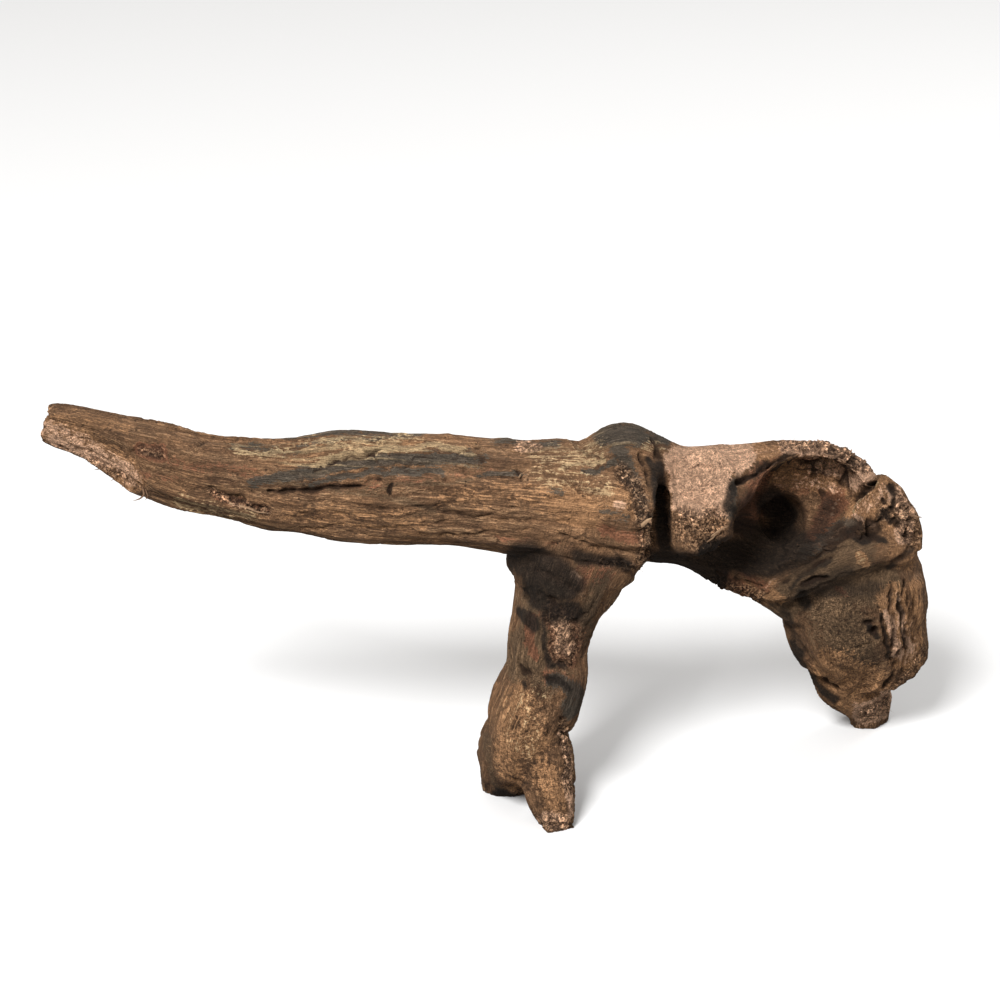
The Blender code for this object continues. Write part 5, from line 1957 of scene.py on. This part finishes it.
def strands(
    roots: Array, directions: Array, curls: Array, lengths: Array, radii: Array, rings: int, around: int
) -> tuple[Array, list[list[int]], Array]:
    """Many tapering round strands at once.

    centre(t) = root + length (t direction + t^2 curl); radius(t) = radius (1 - 0.9 t^1.5); a circle of around
    points is carried along it, square to the direction.

    Args:
        roots: Where each strand starts, in millimetres.
        directions: Unit directions.
        curls: How far each strand bends away by its end, as a share of its length.
        lengths: Lengths in millimetres.
        radii: Radii at the root.
        rings: Rings of each strand.
        around: Points round each ring.
    Returns:
        Points, faces, and how far along its strand each point lies, from 0 to 1.
    """
    t = np.linspace(0, 1, rings)
    angle = np.linspace(0, 2 * np.pi, around, endpoint=False)
    aside = unit(np.cross(directions, np.where(abs(directions[:, 2:]) > 0.8, (1.0, 0.0, 0.0), (0.0, 0.0, 1.0))))
    up = np.cross(directions, aside)
    centres = (
        roots[:, None]
        + lengths[:, None, None] * (t[:, None] * directions[:, None] + t[:, None] ** 2 * curls[:, None])
    )
    radius = radii[:, None] * (1 - 0.9 * t**1.5)
    circle = np.cos(angle)[:, None] * aside[:, None] + np.sin(angle)[:, None] * up[:, None]
    points = centres[:, :, None] + radius[:, :, None, None] * circle[:, None]
    made, faces = joined([*points.reshape(len(roots), -1, 3)], tube_faces(rings, around))
    return made, faces, np.tile(np.repeat(t, around), len(roots))


@dataclass
class Fibres:
    """Short torn fibres that stand on the skin's torn places.

    Attributes:
        count: How many.
        length: Shortest and longest, in millimetres.
        radius: Thinnest and thickest, in millimetres.
        sink: How deep each one starts in the wood.
        clear_height: Lowest place of a root above the floor.
        least_torn: How torn wood has to be to carry fibres.
        bend: How far each strand curls, as a share of its length.
        palest: The highest tone of a strand.
    """

    name: str = "driftwood_fibres"
    count: int = 1400
    length: tuple[float, float] = (0.9, 3.0)
    radius: tuple[float, float] = (0.08, 0.2)
    sink: float = 0.5
    clear_height: float = 4.0
    least_torn: float = 0.35
    bend: float = 0.45
    palest: float = 0.55
    rings: int = 5
    around: int = 4
    seed: int = 17

    def build(self, skin: bpy.types.Object, material: bpy.types.Material) -> bpy.types.Object:
        """The fibres, as one piece. They grow thickest where (torn - least torn)^1.5 is high, and lie low.

        Args:
            skin: The dressed skin that they stand on.
            material: Their finish.
        Returns:
            The piece.
        """
        rng = np.random.default_rng(self.seed)
        points, normals = skin_points(skin.data)
        torn = np.empty(len(points))
        skin.data.attributes[Tone.TORN.value].data.foreach_get("value", torn)
        chance = np.maximum(torn - self.least_torn, 0) ** 1.5 * (points[:, 2] > self.clear_height)
        chosen = rng.choice(len(points), self.count, replace=False, p=chance / chance.sum())
        normal = normals[chosen]
        drift = rng.normal(size=(self.count, 3))
        tangent = unit(drift - (drift * normal).sum(axis=1, keepdims=True) * normal)
        direction = unit(0.3 * normal + tangent + (0, 0, -0.1))
        curl = self.bend * rng.normal(size=(self.count, 3)) + 0.1 * normal
        length = rng.uniform(*self.length, self.count) * rng.uniform(0.4, 1, self.count)
        radius = rng.uniform(*self.radius, self.count)
        roots = points[chosen] - self.sink * normal
        made, faces, along = strands(roots, direction, curl, length, radius, self.rings, self.around)
        piece = mesh_object(self.name, made, faces, material)
        tone = np.repeat(rng.uniform(0, self.palest, self.count), self.rings * self.around)
        put_attribute(piece.data, "tone", tone * (0.5 + 0.5 * along))
        put_attribute(piece.data, "grain", np.column_stack((along * 8, np.arange(len(made)) * 0.37, along)))
        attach(piece, BODY)
        log.info("%s: %d strands", piece.name, self.count)
        return piece


@dataclass(frozen=True)
class Splinter:
    """One splinter or hair of wood, drawn on the sight plane from its root to its tip.

    Attributes:
        name: What it is.
        width: Its width at the root, in millimetres.
        thickness: Its thickness as a share of the width.
        tone: 0 is brown and 1 pale.
        points: Spots from root to tip.
        lift: How far the tip stands off towards the eye.
    """

    name: str
    width: float
    thickness: float
    tone: float
    points: tuple[Spot, ...]
    lift: float = 0.6


SPLINTERS: tuple[Splinter, ...] = (
    Splinter("spur under the thin end", 0.9, 0.7, 0.0, ((-161, 6), (-160, 2.5), (-162, 0.5), (-165.5, -0.5)), 0.0),
    Splinter("second hair of the spur", 0.5, 0.8, 0.0, ((-159.5, 5), (-158.5, 1.5), (-160, -0.5)), 0.0),
    Splinter("hair under the thin end", 0.6, 0.8, 0.0, ((-178, 15.5), (-180, 14), (-183, 13.5)), 0.0),
    Splinter("second hair under the thin end", 0.5, 0.8, 0.0, ((-172.5, 12), (-173.5, 9.5), (-175.5, 8.5)), 0.0),
    Splinter("third hair under the thin end", 0.5, 0.8, 0.0, ((-169, 10), (-169, 7), (-170.5, 5.5)), 0.0),
    Splinter("splinter in the scar", 1.1, 0.5, 0.6, ((-122, -1.5), (-116, -3), (-109, -4.5)), 0.3),
    Splinter("second splinter in the scar", 0.8, 0.5, 0.45, ((-114, -3.5), (-109, -5.5), (-103, -6)), 0.3),
    Splinter("upright hair in the scar", 0.5, 0.6, 0.6, ((-107, -6.5), (-105.5, -3.5), (-106, -1)), 0.8),
    Splinter("chip in the kerf", 1.9, 0.45, 0.75, ((63.5, -12), (66, -9.5), (68.5, -8)), 1.0),
    Splinter("short chip on the stem", 0.8, 0.6, 0.7, ((8.5, 10), (9.8, 12.2)), 0.8),
    Splinter("splinter at the flap", 1.0, 0.6, 0.5, ((95, -16.5), (99, -13.5), (103, -11.5)), 1.2),
    Splinter("second splinter at the flap", 0.7, 0.6, 0.4, ((93, -19), (96, -17), (98, -14)), 0.8),
    Splinter("spike on the burl", 1.3, 0.7, 0.0, ((184, -6.5), (187, -7.5), (190, -7.8)), 0.0),
)


@dataclass
class Splinters:
    """The named splinters, as one piece. Each is an oval carried along its own line, tapering to its tip.

    Attributes:
        sink: How deep each one starts in the wood.
        tip: Half width of the tip.
        root_reach: How near a splinter's root a point of the skin must show to be one that it may stand on.
        grain_step: How far the grain's pattern shifts from one point of a ring to the next.
    """

    sight: SightPlane
    name: str = "driftwood_splinters"
    rings: int = 12
    around: int = 8
    sink: float = 0.5
    tip: float = 0.04
    root_reach: float = 1.6
    grain_step: float = 0.6

    def build(self, skin: bpy.types.Object, material: bpy.types.Material) -> bpy.types.Object:
        """The splinters, rooted on the skin.

        Args:
            skin: The dressed skin.
            material: Their finish.
        Returns:
            The piece.
        """
        points, normals = skin_points(skin.data)
        spots, to_eye, distance = self.sight.spots(points)
        front = (normals * to_eye).sum(axis=1) > 0
        blades = [self.blade(splinter, spots[front], distance[front]) for splinter in SPLINTERS]
        made, faces = joined(blades, tube_faces(self.rings, self.around))
        aside = np.tile(np.arange(self.around), self.rings) * self.grain_step
        grain = [np.column_stack((blade[:, 0] - blade[0, 0], aside, np.zeros(len(blade)))) for blade in blades]
        piece = mesh_object(self.name, made, faces, material)
        tones = [splinter.tone for splinter in SPLINTERS]
        put_attribute(piece.data, "tone", np.repeat(tones, self.rings * self.around))
        put_attribute(piece.data, "grain", np.concatenate(grain))
        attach(piece, BODY)
        log.info("%s: %d splinters", piece.name, len(SPLINTERS))
        return piece

    def blade(self, splinter: Splinter, spots: Array, distance: Array) -> Array:
        """Points of one splinter: it starts sunk in the skin where its root shows, and lifts towards the eye.

        half width(t) = width / 2 sin(pi (0.32 + 0.68 t))^0.8, with t from 0 at the root to 1 at the tip.

        Args:
            splinter: The splinter.
            spots: Where the skin's front points show.
            distance: Their distances from the eye.
        Returns:
            The points of its rings, in millimetres.
        """
        line = np.array(splinter.points, float)
        share = np.linspace(0, 1, len(line))
        t = np.linspace(0, 1, self.rings)
        path = np.column_stack([np.interp(t, share, line[:, k]) for k in (0, 1)])
        path[1:-1] = (path[:-2] + 2 * path[1:-1] + path[2:]) / 4
        near = np.linalg.norm(spots - line[0], axis=1)
        root = distance[near < max(self.root_reach, near.min() + 0.5)].min()
        centres = self.sight.at_depth(path, root + self.sink * (1 - 2 * t) - splinter.lift * t)
        tangents = unit(np.gradient(centres, axis=0))
        away = unit(np.subtract(self.sight.eye, MIDDLE) - centres)
        across = unit(np.cross(tangents, away))
        over = np.cross(across, tangents)
        angle = np.linspace(0, 2 * np.pi, self.around, endpoint=False)
        half = splinter.width / 2 * np.sin(np.pi * (0.32 + 0.68 * t)).clip(0) ** 0.8
        ring = (
            np.cos(angle)[:, None] * across[:, None]
            + splinter.thickness * np.sin(angle)[:, None] * over[:, None]
        )
        return (centres[:, None] + np.maximum(half, self.tip)[:, None, None] * ring).reshape(-1, 3)


@dataclass
class Studio:
    """The floor, the lights and the camera.

    Attributes:
        sight: The line of sight that the camera takes.
        lens: Focal length in millimetres, over a sensor of sensor millimetres.
        floor_half: Half the floor's width in metres; places and sizes of lamps are in metres too, powers in watts.
        target: The point that the lamps are aimed at.
    """

    sight: SightPlane
    lens: float = 100.0
    sensor: float = 36.0
    floor_half: float = 5.0
    floor_steps: int = 8
    key_place: Point = (-0.8, -1.75, 2.2)
    key_size: float = 0.8
    key_power: float = 98.0
    rim_place: Point = (1.2, 0.9, 1.4)
    rim_size: float = 0.9
    rim_power: float = 9.0
    sky: Colour = (1.0, 0.985, 0.965)
    sky_strength: float = 0.55
    target: Point = (0, 0, 0.1)

    def floor(self, finish: FloorFinish) -> None:
        """A wide floor at height zero: a flat grid of points."""
        count = self.floor_steps + 1
        line = np.linspace(-self.floor_half, self.floor_half, count) / MM
        x, y = np.meshgrid(line, line, indexing="ij")
        first = (np.arange(count - 1)[:, None] * count + np.arange(count - 1)).ravel()
        faces = np.stack((first, first + count, first + count + 1, first + 1), axis=1).tolist()
        points = np.column_stack((x.ravel(), y.ravel(), np.zeros(x.size)))
        mesh_object("floor", points, faces, finish.build())

    def lamp(self, name: str, place: Point, size: float, power: float) -> None:
        """A square lamp aimed at the root's middle."""
        light = bpy.data.lights.new(name, "AREA")
        light.size, light.energy = size, power
        lamp = bpy.data.objects.new(name, light)
        lamp.location = place
        lamp.rotation_euler = (Vector(self.target) - Vector(place)).to_track_quat("-Z", "Y").to_euler()
        bpy.context.scene.collection.objects.link(lamp)

    def camera(self) -> None:
        """The camera, at the eye of the sight plane."""
        view = bpy.data.cameras.new("camera")
        view.lens, view.sensor_width = self.lens, self.sensor
        view.clip_start, view.clip_end = 0.05, 50
        camera = bpy.data.objects.new("camera", view)
        eye, aim = (Vector(np.subtract(at, MIDDLE) * MM) for at in (self.sight.eye, self.sight.aim))
        camera.location = eye
        camera.rotation_euler = (aim - eye).to_track_quat("-Z", "Y").to_euler()
        bpy.context.scene.collection.objects.link(camera)
        bpy.context.scene.camera = camera

    def build(self) -> None:
        """Floor, sky, lamps and camera."""
        self.floor(FloorFinish())
        self.lamp("key", self.key_place, self.key_size, self.key_power)
        self.lamp("rim", self.rim_place, self.rim_size, self.rim_power)
        world = bpy.data.worlds.new("sky")
        world.use_nodes = True
        sky = world.node_tree.nodes["Background"].inputs
        sky["Color"].default_value = (*self.sky, 1)
        sky["Strength"].default_value = self.sky_strength
        bpy.context.scene.world = world
        bpy.context.scene.view_settings.view_transform = "Standard"
        self.camera()


def corners(box: tuple[Vector, Vector]) -> list[list[float]]:
    """A box's two corners as plain numbers."""
    return [[round(float(value), 6) for value in corner] for corner in box]


def main() -> None:
    """Loads the frame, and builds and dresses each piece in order."""
    logging.basicConfig(level=logging.INFO, format="%(message)s", stream=sys.stdout)
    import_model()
    sight = SightPlane()
    effects = Effects.build()
    skin = Skin(Relief(), sight).build(WoodFinish().build(effects))
    fibre = FibreFinish().build(effects)
    Splinters(sight).build(skin, fibre)
    Fibres().build(skin, fibre)
    Studio(sight).build()
    log.info("studio: floor, two lamps, sky and camera")


if __name__ == "__main__":
    main()
